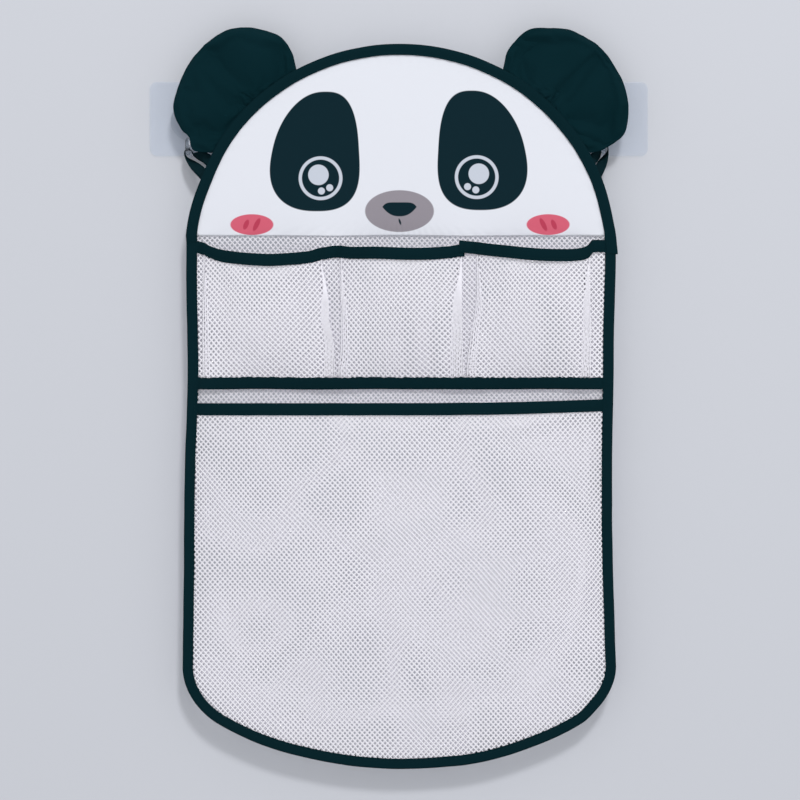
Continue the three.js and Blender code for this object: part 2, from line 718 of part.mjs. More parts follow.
// Upper bag: flat back net, one net strip sewn down as a row of pockets, tapes and side bindings
const upperBag = group(cloth, "upper_bag");
const upperTop = hemZ - FIT;
const upperFoot = foldZ + FIT / 2;
const upperBack = (u, v) => {
  const z = mix(upperFoot, upperTop, v);
  return vector((2 * u - 1) * (sideHalf(z) - slotBottom), -(stackBack + NET_THICKNESS / 2), z);
};
const upperBackNet = net(NET_ACROSS, UPPER_NET_DOWN, NET_OPENING, upperBack, NET_THICKNESS);
piece(upperBag, "upper_back_net", upperBackNet, "net");
const flangeShare = innerHalf / (hemHalf - slotBottom);
const pocketSamples = range(POCKET_COUNT * fineness.upperPocket).map((t) => 2 * t - 1);
const netColumns = [-1, ...pocketSamples.map((t) => t * flangeShare), 1].map((t) => (t + 1) / 2);
const upperNet = sheet(netColumns, panelRows(fineness.upperRows), upperPocket, NET_THICKNESS);
piece(upperBag, "upper_pocket_net", upperNet, "net");
const rimSamples = pocketSamples.map((t) => t * innerHalf);
const upperRimLine = (x) => vector(x, -upperDepth(x, upperRim(x)), upperRim(x));
piece(upperBag, "upper_pocket_rim_tape", bindRim(upperRimLine, rimSamples), "dark");
const baseTape = new THREE.BoxGeometry(2 * innerHalf, TAPE_THICKNESS, POCKET_TAPE_WIDTH);
const baseTapePlace = vector(0, -(stackFront + FIT + TAPE_THICKNESS / 2), baseTapeZ);
piece(upperBag, "upper_pocket_base_tape", baseTape, "dark", baseTapePlace);
const seamTop = upperRimZ - POCKET_TAPE_WIDTH - FIT;
const seamDepth = headStack - 2 * NET_THICKNESS - 2 * FIT;
for (const [side, sign] of sides) {
  const edge = [upperTop, upperFoot].map((z) => ({
    p: vector(sign * sideHalf(z), 0, z),
    n: vector(sign, 0, 0),
  }));
  piece(upperBag, `${side}_side_binding`, bindEdge(edge), "dark");
  const seam = new THREE.BoxGeometry(SEAM_WIDTH, seamDepth, seamTop - baseTapeZ);
  const seamPlace = vector((sign * pocketWidth) / 2, 0, (seamTop + baseTapeZ) / 2);
  piece(upperBag, `${side}_divider_seam`, seam, "net", seamPlace);
}

// Lower bag: flat back net and one large pocket in a folded edge tape round the bottom
const lowerBag = group(cloth, "lower_bag");
const lowerBack = (u, v) => {
  const place = 2 * u - 1;
  const z = mix(lowerEdge(place * (cornerHalf - slotBottom), slotBottom), foldZ - FIT / 2, v);
  return vector(place * (sideHalf(z) - slotBottom), -(stackBack + NET_THICKNESS / 2), z);
};
const lowerBackNet = net(NET_ACROSS, LOWER_NET_DOWN, NET_OPENING, lowerBack, NET_THICKNESS);
piece(lowerBag, "lower_back_net", lowerBackNet, "net");
const lowerSamples = range(fineness.lowerPocket).map((t) => Math.sin((t - 0.5) * Math.PI));
const lowerColumns = [-1, ...lowerSamples.map((t) => t * flangeShare), 1].map((t) => (t + 1) / 2);
const pocketNet = sheet(lowerColumns, panelRows(fineness.lowerRows), lowerPocket, NET_THICKNESS);
piece(lowerBag, "lower_pocket_net", pocketNet, "net");
const lowerRimTop = lowerRimZ - rimTop;
const lowerRimLine = (x) => vector(x, -lowerDepth(x, lowerRimTop), lowerRimTop);
const lowerRim = bindRim(lowerRimLine, lowerSamples.map((t) => t * innerHalf));
piece(lowerBag, "lower_pocket_rim_tape", lowerRim, "dark");
piece(lowerBag, "lower_binding", bindEdge(lowerBagEdge()), "dark");

export default organizer;
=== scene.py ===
import json
import math

import bmesh
import bpy
from mathutils import Matrix, Vector, noise
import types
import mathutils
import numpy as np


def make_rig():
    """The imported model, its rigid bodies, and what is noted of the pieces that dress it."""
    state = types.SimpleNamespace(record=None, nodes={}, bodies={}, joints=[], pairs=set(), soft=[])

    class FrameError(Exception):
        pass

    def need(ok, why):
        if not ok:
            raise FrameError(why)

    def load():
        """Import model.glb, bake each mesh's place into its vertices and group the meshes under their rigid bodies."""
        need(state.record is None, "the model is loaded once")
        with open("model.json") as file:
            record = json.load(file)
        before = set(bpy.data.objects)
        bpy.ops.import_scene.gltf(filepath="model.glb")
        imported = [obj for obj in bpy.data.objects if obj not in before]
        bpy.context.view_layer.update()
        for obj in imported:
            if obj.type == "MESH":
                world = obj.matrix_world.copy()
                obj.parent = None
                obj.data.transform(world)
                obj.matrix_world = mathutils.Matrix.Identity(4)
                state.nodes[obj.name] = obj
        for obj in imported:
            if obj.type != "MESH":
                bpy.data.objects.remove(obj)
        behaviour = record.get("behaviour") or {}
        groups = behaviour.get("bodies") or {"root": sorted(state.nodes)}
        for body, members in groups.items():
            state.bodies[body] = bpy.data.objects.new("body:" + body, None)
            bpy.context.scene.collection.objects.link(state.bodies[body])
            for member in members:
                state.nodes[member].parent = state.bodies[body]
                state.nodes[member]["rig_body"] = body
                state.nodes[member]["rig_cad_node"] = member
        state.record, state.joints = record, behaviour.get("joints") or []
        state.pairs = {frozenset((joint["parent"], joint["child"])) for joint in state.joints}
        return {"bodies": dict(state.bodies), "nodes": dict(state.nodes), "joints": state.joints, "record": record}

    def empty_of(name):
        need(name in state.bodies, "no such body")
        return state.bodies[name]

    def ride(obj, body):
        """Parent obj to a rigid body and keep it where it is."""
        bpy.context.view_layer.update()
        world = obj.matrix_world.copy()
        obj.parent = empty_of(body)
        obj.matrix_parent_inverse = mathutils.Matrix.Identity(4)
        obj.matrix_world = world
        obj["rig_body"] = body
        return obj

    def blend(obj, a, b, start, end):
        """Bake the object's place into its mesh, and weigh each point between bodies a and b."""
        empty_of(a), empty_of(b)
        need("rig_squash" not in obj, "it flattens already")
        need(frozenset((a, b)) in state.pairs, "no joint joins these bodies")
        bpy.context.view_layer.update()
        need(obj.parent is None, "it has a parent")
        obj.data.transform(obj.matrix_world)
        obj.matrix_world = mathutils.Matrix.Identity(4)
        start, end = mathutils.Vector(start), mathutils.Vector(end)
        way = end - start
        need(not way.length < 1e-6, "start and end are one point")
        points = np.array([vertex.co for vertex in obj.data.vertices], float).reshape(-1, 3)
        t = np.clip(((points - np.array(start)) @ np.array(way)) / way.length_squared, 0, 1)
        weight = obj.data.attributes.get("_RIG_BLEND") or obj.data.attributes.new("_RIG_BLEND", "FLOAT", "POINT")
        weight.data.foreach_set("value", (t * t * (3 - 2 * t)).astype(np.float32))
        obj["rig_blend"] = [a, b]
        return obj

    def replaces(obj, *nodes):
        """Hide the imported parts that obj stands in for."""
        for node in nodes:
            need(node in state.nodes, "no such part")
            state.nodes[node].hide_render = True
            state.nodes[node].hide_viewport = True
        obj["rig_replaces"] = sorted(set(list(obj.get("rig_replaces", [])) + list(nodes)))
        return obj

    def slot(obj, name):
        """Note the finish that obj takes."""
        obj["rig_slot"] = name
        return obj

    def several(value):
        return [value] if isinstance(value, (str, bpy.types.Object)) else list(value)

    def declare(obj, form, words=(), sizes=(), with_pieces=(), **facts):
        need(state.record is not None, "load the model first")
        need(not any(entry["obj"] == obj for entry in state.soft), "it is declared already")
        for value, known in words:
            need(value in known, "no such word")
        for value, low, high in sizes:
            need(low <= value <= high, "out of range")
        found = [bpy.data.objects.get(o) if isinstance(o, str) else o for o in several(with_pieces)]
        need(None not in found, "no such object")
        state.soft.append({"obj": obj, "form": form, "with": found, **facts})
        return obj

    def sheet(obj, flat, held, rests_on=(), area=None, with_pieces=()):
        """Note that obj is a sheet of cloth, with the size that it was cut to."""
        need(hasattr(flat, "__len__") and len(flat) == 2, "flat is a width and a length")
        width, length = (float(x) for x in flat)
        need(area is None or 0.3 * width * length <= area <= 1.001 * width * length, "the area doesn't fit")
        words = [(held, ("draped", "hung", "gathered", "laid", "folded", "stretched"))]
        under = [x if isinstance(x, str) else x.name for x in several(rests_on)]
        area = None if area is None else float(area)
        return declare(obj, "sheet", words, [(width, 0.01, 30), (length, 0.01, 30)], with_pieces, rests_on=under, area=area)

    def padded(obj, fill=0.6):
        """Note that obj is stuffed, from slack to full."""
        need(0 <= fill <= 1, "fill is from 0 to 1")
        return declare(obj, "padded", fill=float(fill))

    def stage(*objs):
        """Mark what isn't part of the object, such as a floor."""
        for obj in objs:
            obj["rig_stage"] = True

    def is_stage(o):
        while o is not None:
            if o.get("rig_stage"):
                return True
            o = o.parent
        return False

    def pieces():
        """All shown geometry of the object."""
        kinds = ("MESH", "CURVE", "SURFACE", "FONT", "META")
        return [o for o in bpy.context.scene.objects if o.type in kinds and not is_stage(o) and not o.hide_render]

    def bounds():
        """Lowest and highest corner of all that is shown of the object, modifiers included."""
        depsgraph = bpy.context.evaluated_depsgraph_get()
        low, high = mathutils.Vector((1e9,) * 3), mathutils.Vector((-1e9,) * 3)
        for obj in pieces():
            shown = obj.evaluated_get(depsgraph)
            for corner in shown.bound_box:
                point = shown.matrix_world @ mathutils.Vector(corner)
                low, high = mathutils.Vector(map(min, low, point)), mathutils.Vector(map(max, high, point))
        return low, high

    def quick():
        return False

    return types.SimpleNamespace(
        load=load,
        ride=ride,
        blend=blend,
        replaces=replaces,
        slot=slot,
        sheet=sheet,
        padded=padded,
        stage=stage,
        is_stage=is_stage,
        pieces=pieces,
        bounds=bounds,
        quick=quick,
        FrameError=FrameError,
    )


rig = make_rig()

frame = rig.load()
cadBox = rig.bounds()
mm = 0.001

# outline of the bag in millimetres, the same as the solids have
bag = {
    "depth": 19.7,  # wall to the middle of the cloth
    "headHalf": 170, "headRise": 163, "headCentre": -103,
    "hem": -93,
    "cornerHalf": 172.2, "cornerRadius": 52, "cornerX": 120.2, "cornerZ": -437.5,
    "bottomRadius": 304, "bottomCentre": -216,
}
# half-width over the edge tapes below the hem, as height and x; neither side hangs quite straight
sideLines = {
    -1: [(-437.5, 173.9), (-400, 173.4), (-336, 172.8), (-273, 172.1), (-241, 170.8), (-209, 170.1),
         (-193, 169.9), (-160, 170.5), (-129, 171), (-93, 170.9)],
    1: [(-437.5, 172.8), (-400, 171.6), (-369, 170.7), (-337, 170), (-273, 169.6), (-241, 170.2),
        (-209, 170.9), (-177, 171), (-145, 171.9), (-113, 172.7), (-93, 172.4)],
}
# how far the lower tape runs outside its arcs, by x
bottomDrift = [(-173, 0), (-150, 0.3), (-128, 1), (-100, 0.8), (-76, 0), (-16, -0.4), (36, 0), (54, 1),
               (128, 0.8), (146, 0), (159, -1.6), (168, -1), (173, 0)]
# how far the head tape runs outside the ellipse, as height and x
headDrift = {
    -1: [(-93, 1.2), (-80, 0.8), (-64, -0.2), (-48, -1.1), (-20, -0.5), (0, 0)],
    1: [(-93, 2.7), (-80, 1.6), (-64, 1.4), (-48, 1.3), (-20, 0.6), (0, 0)],
}
cornerAngle = math.atan2(bag["cornerX"], bag["bottomCentre"] - bag["cornerZ"])
bagFoot = bag["bottomCentre"] - bag["bottomRadius"]
sideName = {-1: "left", 1: "right"}


def mix(a, b, t):
    return a + (b - a) * t


def clamp(x, low=0.0, high=1.0):
    return max(low, min(high, x))


def ease(t):
    t = clamp(t)
    return t * t * (3 - 2 * t)


def place(x, forward, z):  # a point so far forward of the middle of the cloth
    return Vector((x * mm, -(bag["depth"] + forward) * mm, z * mm))


def wander(x, z, size, seed):  # slow unevenness between -1 and 1; the seeds lie well apart
    return noise.noise(Vector((x / size, seed * 7.3, z / size)))


def curveAt(points, x):  # smooth line through a few (x, z) points
    last = len(points) - 1
    i = 0
    while i < last - 1 and x > points[i + 1][0]:
        i += 1
    (x0, z0), (x1, z1) = points[i], points[i + 1]
    before, after = points[max(0, i - 1)], points[min(last, i + 2)]
    span = x1 - x0
    m0 = (z1 - before[1]) / (x1 - before[0]) * span
    m1 = (after[1] - z0) / (after[0] - x0) * span
    t = clamp((x - x0) / span)
    a, b = 2 * t ** 3 - 3 * t ** 2 + 1, t ** 3 - 2 * t ** 2 + t
    c, d = -2 * t ** 3 + 3 * t ** 2, t ** 3 - t ** 2
    return a * z0 + b * m0 + c * z1 + d * m1


def sideHalf(z, side):
    return curveAt(sideLines[1 if side > 0 else -1], z)


def lowEdge(x, inset):  # lower edge of the bag, moved inward
    away = abs(x)
    if away <= math.sin(cornerAngle) * (bag["bottomRadius"] - inset):
        return bag["bottomCentre"] - math.sqrt((bag["bottomRadius"] - inset) ** 2 - away ** 2)
    rest = (bag["cornerRadius"] - inset) ** 2 - (away - bag["cornerX"]) ** 2
    return bag["cornerZ"] - math.sqrt(max(0, rest))


def insideBag(x, z, inset):
    return abs(x) < sideHalf(z, x) - inset and z > lowEdge(x, inset)


def srgb(r, g, b):
    return tuple(((c / 255 + 0.055) / 1.055) ** 2.4 if c > 10 else c / 3294 for c in (r, g, b)) + (1,)


class Wire:  # one socket of a material; sums on it add Math nodes
    def __init__(self, tree, socket=None):
        self.tree, self.socket = tree, socket

    def node(self, kind, settings, inputs, out=0):
        made = self.tree.nodes.new(kind)
        for key, value in settings.items():
            setattr(made, key, value)
        for key, value in inputs.items():
            if isinstance(value, Wire):
                self.tree.links.new(value.socket, made.inputs[key])
            else:
                made.inputs[key].default_value = value
        return Wire(self.tree, made.outputs[out])

    def output(self, name):  # another socket of the same node
        return Wire(self.tree, self.socket.node.outputs[name])

    def maths(self, operation, a, b=0.0, held=False):
        return self.node("ShaderNodeMath", {"operation": operation, "use_clamp": held}, {0: a, 1: b})

    def blend(self, a, b):  # colour a where this is 0, b where it is 1
        return self.node("ShaderNodeMix", {"data_type": "RGBA"}, {0: self, 6: a, 7: b}, 2)

    def __add__(self, other):
        return self.maths("ADD", self, other)

    def __sub__(self, other):
        return self.maths("SUBTRACT", self, other)

    def __rsub__(self, other):
        return self.maths("SUBTRACT", other, self)

    def __mul__(self, other):
        return self.maths("MULTIPLY", self, other)

    def __truediv__(self, other):
        return self.maths("DIVIDE", self, other)

    def __pow__(self, other):
        return self.maths("POWER", self, other)

    __radd__ = __add__
    __rmul__ = __mul__

    def size(self):
        return self.maths("ABSOLUTE", self)

    def either(self, other):
        return self.maths("MAXIMUM", self, other)

    def sharp(self, width):  # 0 to 1 over that width about 0
        return self.maths("ADD", self / width, 0.5, True)


def newLook(name, base, rough, **fixed):
    look = bpy.data.materials.new(name)
    look.use_nodes = True
    shader = look.node_tree.nodes["Principled BSDF"]
    shader.inputs["Base Color"].default_value = base
    shader.inputs["Roughness"].default_value = rough
    for key, value in fixed.items():
        shader.inputs[key.replace("_", " ")].default_value = value
    return look, Wire(look.node_tree), shader


def feed(wire, shader, name):
    wire.tree.links.new(wire.socket, shader.inputs[name])


def weaveBump(w, shader, pitch, strength, depth, source="UV"):  # crossed threads
    spot = w.node("ShaderNodeTexCoord", {}, {}, source)
    across = spot.node("ShaderNodeSeparateXYZ", {}, {"Vector": spot})
    along = across.output(1 if source == "UV" else 2)
    turn = 2 * math.pi / (pitch * mm)
    height = w.maths("SINE", across * turn) * w.maths("SINE", along * turn)
    bump = w.node("ShaderNodeBump", {}, {"Strength": strength, "Distance": depth * mm, "Height": height})
    feed(bump, shader, "Normal")


def plainCloth(name, base, rough, pitch, strength, **fixed):
    look, w, shader = newLook(name, base, rough, **fixed)
    weaveBump(w, shader, pitch, strength, depth=0.12)
    return look


tapeLook = plainCloth("darkTape", srgb(9, 36, 42), rough=0.9, pitch=0.9, strength=0.3,
                      Specular_IOR_Level=0.03)
ribbonLook = plainCloth("darkRibbon", srgb(9, 35, 41), rough=0.8, pitch=0.7, strength=0.3,
                        Specular_IOR_Level=0.05)
liningLook = plainCloth("liningCloth", srgb(222, 225, 230), rough=0.85, pitch=1.1, strength=0.3)
netLook = newLook("whiteNet", srgb(250, 248, 255), 0.7, Specular_IOR_Level=0.3)[0]
threadLook = newLook("whiteThread", srgb(240, 241, 245), 0.6)[0]
darkThreadLook = newLook("darkThread", srgb(11, 39, 45), 0.8, Specular_IOR_Level=0.05)[0]
boardLook = newLook("stiffBoard", srgb(226, 228, 230), 0.5)[0]
filmLook = newLook("clearFilm", srgb(188, 207, 234), 0.12, Alpha=0.1)[0]
plasticLook = newLook("clearPlastic", srgb(240, 245, 248), 0.06, Transmission_Weight=1.0, IOR=1.46,
                      Alpha=0.42)[0]


def makeEarLook():  # dark cloth, a little paler in broad patches
    look, w, shader = newLook("earCloth", srgb(7, 35, 41), 0.9, Specular_IOR_Level=0.03)
    spot = w.node("ShaderNodeTexCoord", {}, {}, "Object")
    cloud = w.node("ShaderNodeTexNoise", {}, {"Vector": spot, "Scale": 14.0, "Detail": 2.0})
    feed(cloud.blend(srgb(3, 31, 36), srgb(13, 43, 50)), shader, "Base Color")
    weaveBump(w, shader, pitch=0.8, strength=0.25, depth=0.1, source="Object")
    return look


earLook = makeEarLook()

# the print, in millimetres on the front of the head
facePrint = {
    "shift": -1.1, "tilt": 0.45,  # the eyes sit a little to the left, the right one higher
    "patch": {"x": 66.4, "z": -25.3, "wide": 34.8, "tall": 47.8, "egg": 0.18, "square": 2.5,
              "lean": 3.6, "bow": 4.6},
    "eye": {"x": 62.4, "z": -46.7, "outer": 17.5, "inner": 14.9},
    "shine": [(1.7, 2.7, 8.2), (-7.3, -7.6, 2.8), (-0.7, -10.2, 2.8)],
    "muzzle": {"x": -0.4, "z": -73.4, "wide": 27.5, "tall": 16.7},
    "nose": {"z": -70.1, "wide": 13.7, "up": 3.7, "flat": 6, "down": 7.5, "blunt": 2.4},
    "mouth": {"x": -0.1, "z": -81.9, "wide": 0.8, "tall": 2.5, "lean": 0.3},
    "cheek": {"x": 118.4, "z": -84.2, "wide": 17.2, "tall": 8.3},
    "stroke": [(-4.6, 4.2, 0.4), (3.8, 5.6, 0.47)], "strokeWide": 1.9,
    "soft": 0.5,
}
printInk = {
    "cloth": srgb(231, 233, 241), "dark": srgb(17, 40, 48), "ring": srgb(203, 209, 221),
    "muzzle": srgb(152, 146, 154), "cheek": srgb(218, 101, 122), "stroke": srgb(192, 68, 92),
}


def makeFaceLook():
    look, w, shader = newLook("faceCloth", printInk["cloth"], 0.85, Specular_IOR_Level=0.03)
    spot = w.node("ShaderNodeTexCoord", {}, {}, "Object")
    parts = spot.node("ShaderNodeSeparateXYZ", {}, {"Vector": spot})
    x, z = parts * (1 / mm), parts.output(2) * (1 / mm)
    soft = facePrint["soft"]

    def oval(cx, cz, wide, tall, lean=0.0):
        dx, dz = x - cx, z - cz
        if lean:
            dx, dz = dx * math.cos(lean) + dz * math.sin(lean), dz * math.cos(lean) - dx * math.sin(lean)
        reach = ((dx / wide) ** 2 + (dz / tall) ** 2) ** 0.5
        return ((1 - reach) * min(wide, tall)).sharp(soft)

    def patch(side):
        p = facePrint["patch"]
        h = (z - p["z"] - side * facePrint["tilt"]) / p["tall"]
        middle = side * (p["x"] - p["lean"] * h - p["bow"] * h * h) + facePrint["shift"]
        dx = (x - middle) / (p["wide"] * (1 - p["egg"] * h))
        reach = (dx.size() ** p["square"] + h.size() ** p["square"]) ** (1 / p["square"])
        return ((1 - reach) * p["wide"]).sharp(soft)

    def nose():  # nearly flat above, rounded to a blunt point below
        n = facePrint["nose"]
        h = z - n["z"]
        dx = ((x - facePrint["muzzle"]["x"]) / n["wide"]).size()
        above = (1 - dx ** n["flat"]) * n["up"] - h
        below = (1 - dx ** n["blunt"]) * n["down"] + h
        return w.maths("MINIMUM", above, below).sharp(soft)

    colour = None

    def lay(mask, ink):
        nonlocal colour
        colour = mask.blend(colour or printInk["cloth"], ink)

    for side in (-1, 1):
        lay(patch(side), printInk["dark"])
        e = facePrint["eye"]
        ex, ez = side * e["x"] + facePrint["shift"], e["z"] + side * facePrint["tilt"]
        lay(oval(ex, ez, e["outer"], e["outer"]), printInk["ring"])
        lay(oval(ex, ez, e["inner"], e["inner"]), printInk["dark"])
        for dx, dz, radius in facePrint["shine"]:
            lay(oval(ex + side * dx, ez + dz, radius, radius), printInk["ring"])
        c = facePrint["cheek"]
        lay(oval(side * c["x"], c["z"], c["wide"], c["tall"]), printInk["cheek"])
        for shift, tall, lean in facePrint["stroke"]:
            at = side * c["x"] - side * shift
            lay(oval(at, c["z"], facePrint["strokeWide"], tall, side * lean), printInk["stroke"])
    m = facePrint["muzzle"]
    lay(oval(m["x"], m["z"], m["wide"], m["tall"]), printInk["muzzle"])
    lay(nose(), printInk["dark"])
    t = facePrint["mouth"]
    lay(oval(t["x"], t["z"], t["wide"], t["tall"], t["lean"]), printInk["dark"])
    feed(colour, shader, "Base Color")
    weaveBump(w, shader, pitch=0.7, strength=0.22, depth=0.08, source="Object")
    return look


faceLook = makeFaceLook()
print("looks made")


def asMesh(bm, name):
    mesh = bpy.data.meshes.new(name)
    bm.to_mesh(mesh)
    bm.free()
    return mesh


def addObject(name, data):
    made = bpy.data.objects.new(name, data)
    bpy.context.scene.collection.objects.link(made)
    return made


def asPiece(bm, name, look, slot):
    for face in bm.faces:
        face.smooth = True
    piece = addObject(name, asMesh(bm, name))
    piece.data.materials.append(look)
    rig.slot(piece, slot)
    return piece


def thicken(bm, thick):
    bm.normal_update()
    bmesh.ops.solidify(bm, geom=bm.faces[:], thickness=thick * mm)


def outward(bm):
    bmesh.ops.recalc_face_normals(bm, faces=bm.faces[:])


def faceForward(bm):
    outward(bm)
    if sum(f.normal.y for f in bm.faces) > 0:
        bmesh.ops.reverse_faces(bm, faces=bm.faces[:])


def rotate(bm, angle, axis="X"):
    bmesh.ops.rotate(bm, verts=bm.verts, cent=(0, 0, 0), matrix=Matrix.Rotation(angle, 3, axis))


def move(bm, way):
    bmesh.ops.translate(bm, verts=bm.verts, vec=way)


def gridShape(columns, rows, spot, thick):
    # a sheet of columns by rows faces, each corner put where spot(u, v) says, then given thickness
    bm = bmesh.new()
    bmesh.ops.create_grid(bm, x_segments=columns, y_segments=rows, size=0.5)
    threads = bm.loops.layers.uv.new("threads")
    flat = {v: (v.co.x + 0.5, v.co.y + 0.5) for v in bm.verts}
    for v, (u, t) in flat.items():
        v.co = spot(u, t)
    samples = 20
    steps = [i / samples for i in range(samples + 1)]
    lengthwise = sum((spot(b, 0.5) - spot(a, 0.5)).length for a, b in zip(steps, steps[1:]))
    crosswise = sum((spot(0.5, b) - spot(0.5, a)).length for a, b in zip(steps, steps[1:]))
    for face in bm.faces:
        for loop in face.loops:
            u, t = flat[loop.vert]
            loop[threads].uv = (u * lengthwise, t * crosswise)
    if thick:
        thicken(bm, thick)
    return bm


crispAngle = 1.0  # an edge that turns further, in radians, is a cut one


def tapeShape(path, section, thick):
    # path holds (point, outward, forward, fullness), section what foldSection makes
    half = len(path) // 2
    if (path[half + 1][0] - path[half][0]).cross(path[half][1]).dot(path[half][2]) < 0:
        path = path[::-1]
    columns, rows = len(path) - 1, len(section) - 1

    def spot(u, t):
        point, out, front, full = path[round(u * columns)]
        inward, forward = section[round(t * rows)]
        return point - out * (inward * mm) + front * (forward * full * mm)

    bm = gridShape(columns, rows, spot, thick)
    for edge in bm.edges:  # cut edges stay crisp
        edge.smooth = edge.calc_face_angle(0) < crispAngle
    return bm


def roundSection(corners, steps=3):  # rounds the corners of a tape's section
    points = []
    for i in range(len(corners) - 1):
        a, b = Vector(corners[max(0, i - 1)]), Vector(corners[i])
        c, d = Vector(corners[i + 1]), Vector(corners[min(len(corners) - 1, i + 2)])
        for k in range(steps):
            t = k / steps
            points.append(tuple(0.5 * (2 * b + (c - a) * t + (2 * a - 5 * b + 4 * c - d) * t ** 2
                                       + (3 * b - a - 3 * c + d) * t ** 3)))
    return points + [corners[-1]]


def foldSection(front, back, fold, grow=0.0):
    # (inward, forward) from the front edge of a folded tape over the fold to its back edge; fold gives the
    # height at the cut edge, at the hem behind it and at the bulge, and the points of the turn
    def half(wide):
        hem, hemHeight = fold["hem"]
        share, height = fold["bulge"]
        return [(wide, fold["cut"]), (wide - hem, hemHeight), (wide * share, height), *fold["turn"]]

    corners = half(front) + [(0, 0)] + [(q, -d) for q, d in half(back)[::-1]]
    return roundSection([(q - grow, d + math.copysign(grow, d) if d else 0) for q, d in corners])


def addShape(bm, shape):
    part = asMesh(shape, "part")
    bm.from_mesh(part)
    bpy.data.meshes.remove(part)


thread = {"long": 2.3, "thick": 0.5, "pitch": 3.2}


def stitchShape(rows):
    # rows holds lists of (point, outward normal); one small stitch at each even step
    bm = bmesh.new()
    size = Matrix.Diagonal((thread["long"] * mm / 2, thread["thick"] * mm / 2, thread["thick"] * mm / 2, 1))
    for line in rows:
        few = bmesh.new()
        due = thread["pitch"] * mm / 2
        walked = 0
        for (p, n), (q, _) in zip(line, line[1:]):
            stretch = (q - p).length
            while due <= walked + stretch:
                along = (q - p).normalized()
                side = n.cross(along).normalized()
                turned = Matrix((along, side, along.cross(side))).transposed().to_4x4()
                centre = p.lerp(q, (due - walked) / stretch)
                bmesh.ops.create_uvsphere(few, u_segments=6, v_segments=4, radius=1,
                                          matrix=Matrix.Translation(centre) @ turned @ size)
                due += thread["pitch"] * mm
            walked += stretch
            if len(few.verts) > 1000:  # adding to a large mesh is slow
                addShape(bm, few)
                few = bmesh.new()
        addShape(bm, few)
    outward(bm)
    return bm


def tapeRow(path, inward, forward):  # a stitch line along a tape, on its front or its back
    line = []
    for point, out, front, full in path:
        facing = front if forward > 0 else -front
        line.append((point - out * (inward * mm) + front * (forward * full * mm), facing))
    return line


# nets of crossing strands with open diamonds
net = {"cellWide": 4.0, "cellTall": 4.4, "thick": 0.5, "drawn": 1.6, "drawnOver": 55}


def netShape(left, right, low, high, inside, seed, strand, turn=0.0):
    # a flat net, trimmed to what inside(x, z) says; its points are x, z and the height off the sheet
    bm = bmesh.new()
    count = 2 * math.ceil(((right - left) / net["cellWide"] + (high - low) / net["cellTall"]) / 2 + 2)
    bmesh.ops.create_grid(bm, x_segments=count, y_segments=count, size=count / 2)
    rotate(bm, math.pi / 4, "Z")
    stretch = (net["cellWide"] / math.sqrt(2), net["cellTall"] / math.sqrt(2), 1)
    bmesh.ops.scale(bm, verts=bm.verts, vec=stretch)
    rotate(bm, turn, "Z")
    move(bm, ((left + right) / 2, (low + high) / 2, 0))
    for v in bm.verts:
        x, z = v.co.xy
        v.co.x = x + net["drawn"] * wander(x, z, net["drawnOver"], seed)
        v.co.y = z + net["drawn"] * wander(x, z, net["drawnOver"], seed + 20)
    outside = [f for f in bm.faces if not inside(*f.calc_center_median().xy)]
    bmesh.ops.delete(bm, geom=outside, context="FACES")
    bmesh.ops.wireframe(bm, faces=bm.faces[:], thickness=strand, use_replace=True,
                        use_boundary=True, use_even_offset=True)
    bmesh.ops.scale(bm, verts=bm.verts, vec=(1, 1, net["thick"] / strand))
    return bm


backNet = {"forward": -1.2, "sway": 0.2, "swayOver": 70, "split": -210.8, "hem": -89.5, "inset": 3.4,
           "strand": 1.2, "sewnFrom": -112, "sewnOver": 16}  # where it comes forward to the hem of the face


def backPlace(v):
    x, z, lift = v.co
    sewn = ease((z - backNet["sewnFrom"]) / backNet["sewnOver"])
    sway = backNet["sway"] * wander(x, z, backNet["swayOver"], 1)
    return place(x, backNet["forward"] + sewn + sway + lift, z)


def makeBackNets():
    half = bag["cornerHalf"]
    split = backNet["split"]

    def upper(x, z):
        return split < z < backNet["hem"] and abs(x) < sideHalf(z, x) - backNet["inset"]

    def lower(x, z):
        return z <= split and insideBag(x, z, backNet["inset"])

    pieces = []
    for name, inside in (("upperBackNet", upper), ("lowerBackNet", lower)):
        bm = netShape(-half, half, bagFoot, backNet["hem"] + 2, inside, 11, backNet["strand"])
        for v in bm.verts:
            v.co = backPlace(v)
        pieces.append(asPiece(bm, name, netLook, "white_net"))
    return pieces


upperBackNet, lowerBackNet = makeBackNets()
print("back nets made")

# row of three small pockets, sewn from one strip with a pleat at each side of each pocket
pocketRow = {
    "half": 161.4, "foot": -206.1, "low": -213.5, "rim": -104, "top": -95, "underRim": 2,
    "front": 1.2, "swell": 18, "slack": 11, "strand": 1.52,
    "pressed": 0.3, "open": 0.7,  # bend of a pleat at rim and foot, and halfway up
}
# the front layer climbs over the folded ones near a pleat, and fades out past the fold
lap = {"from": 16, "over": 14, "past": 4, "fade": 3}
# threads drawn together at a pleat, which fan out from the fold towards the foot
crease = {"wide": 0.74, "thick": 0.4, "proud": 0.25, "below": 9, "fan": 34, "inset": 0.3, "waver": 0.5,
          "waverOver": 12, "apart": 9, "steps": 48}
pocketWidth = 2 * pocketRow["half"] / 3
# seams between the pockets: height and x
seams = [
    [(-213, -163), (-150, -163.6), (-96, -164)], [(-206, -50.6), (-104, -54.8)],
    [(-206, 52.4), (-104, 55.6)], [(-213, 164), (-150, 164.8), (-96, 165.6)],
]
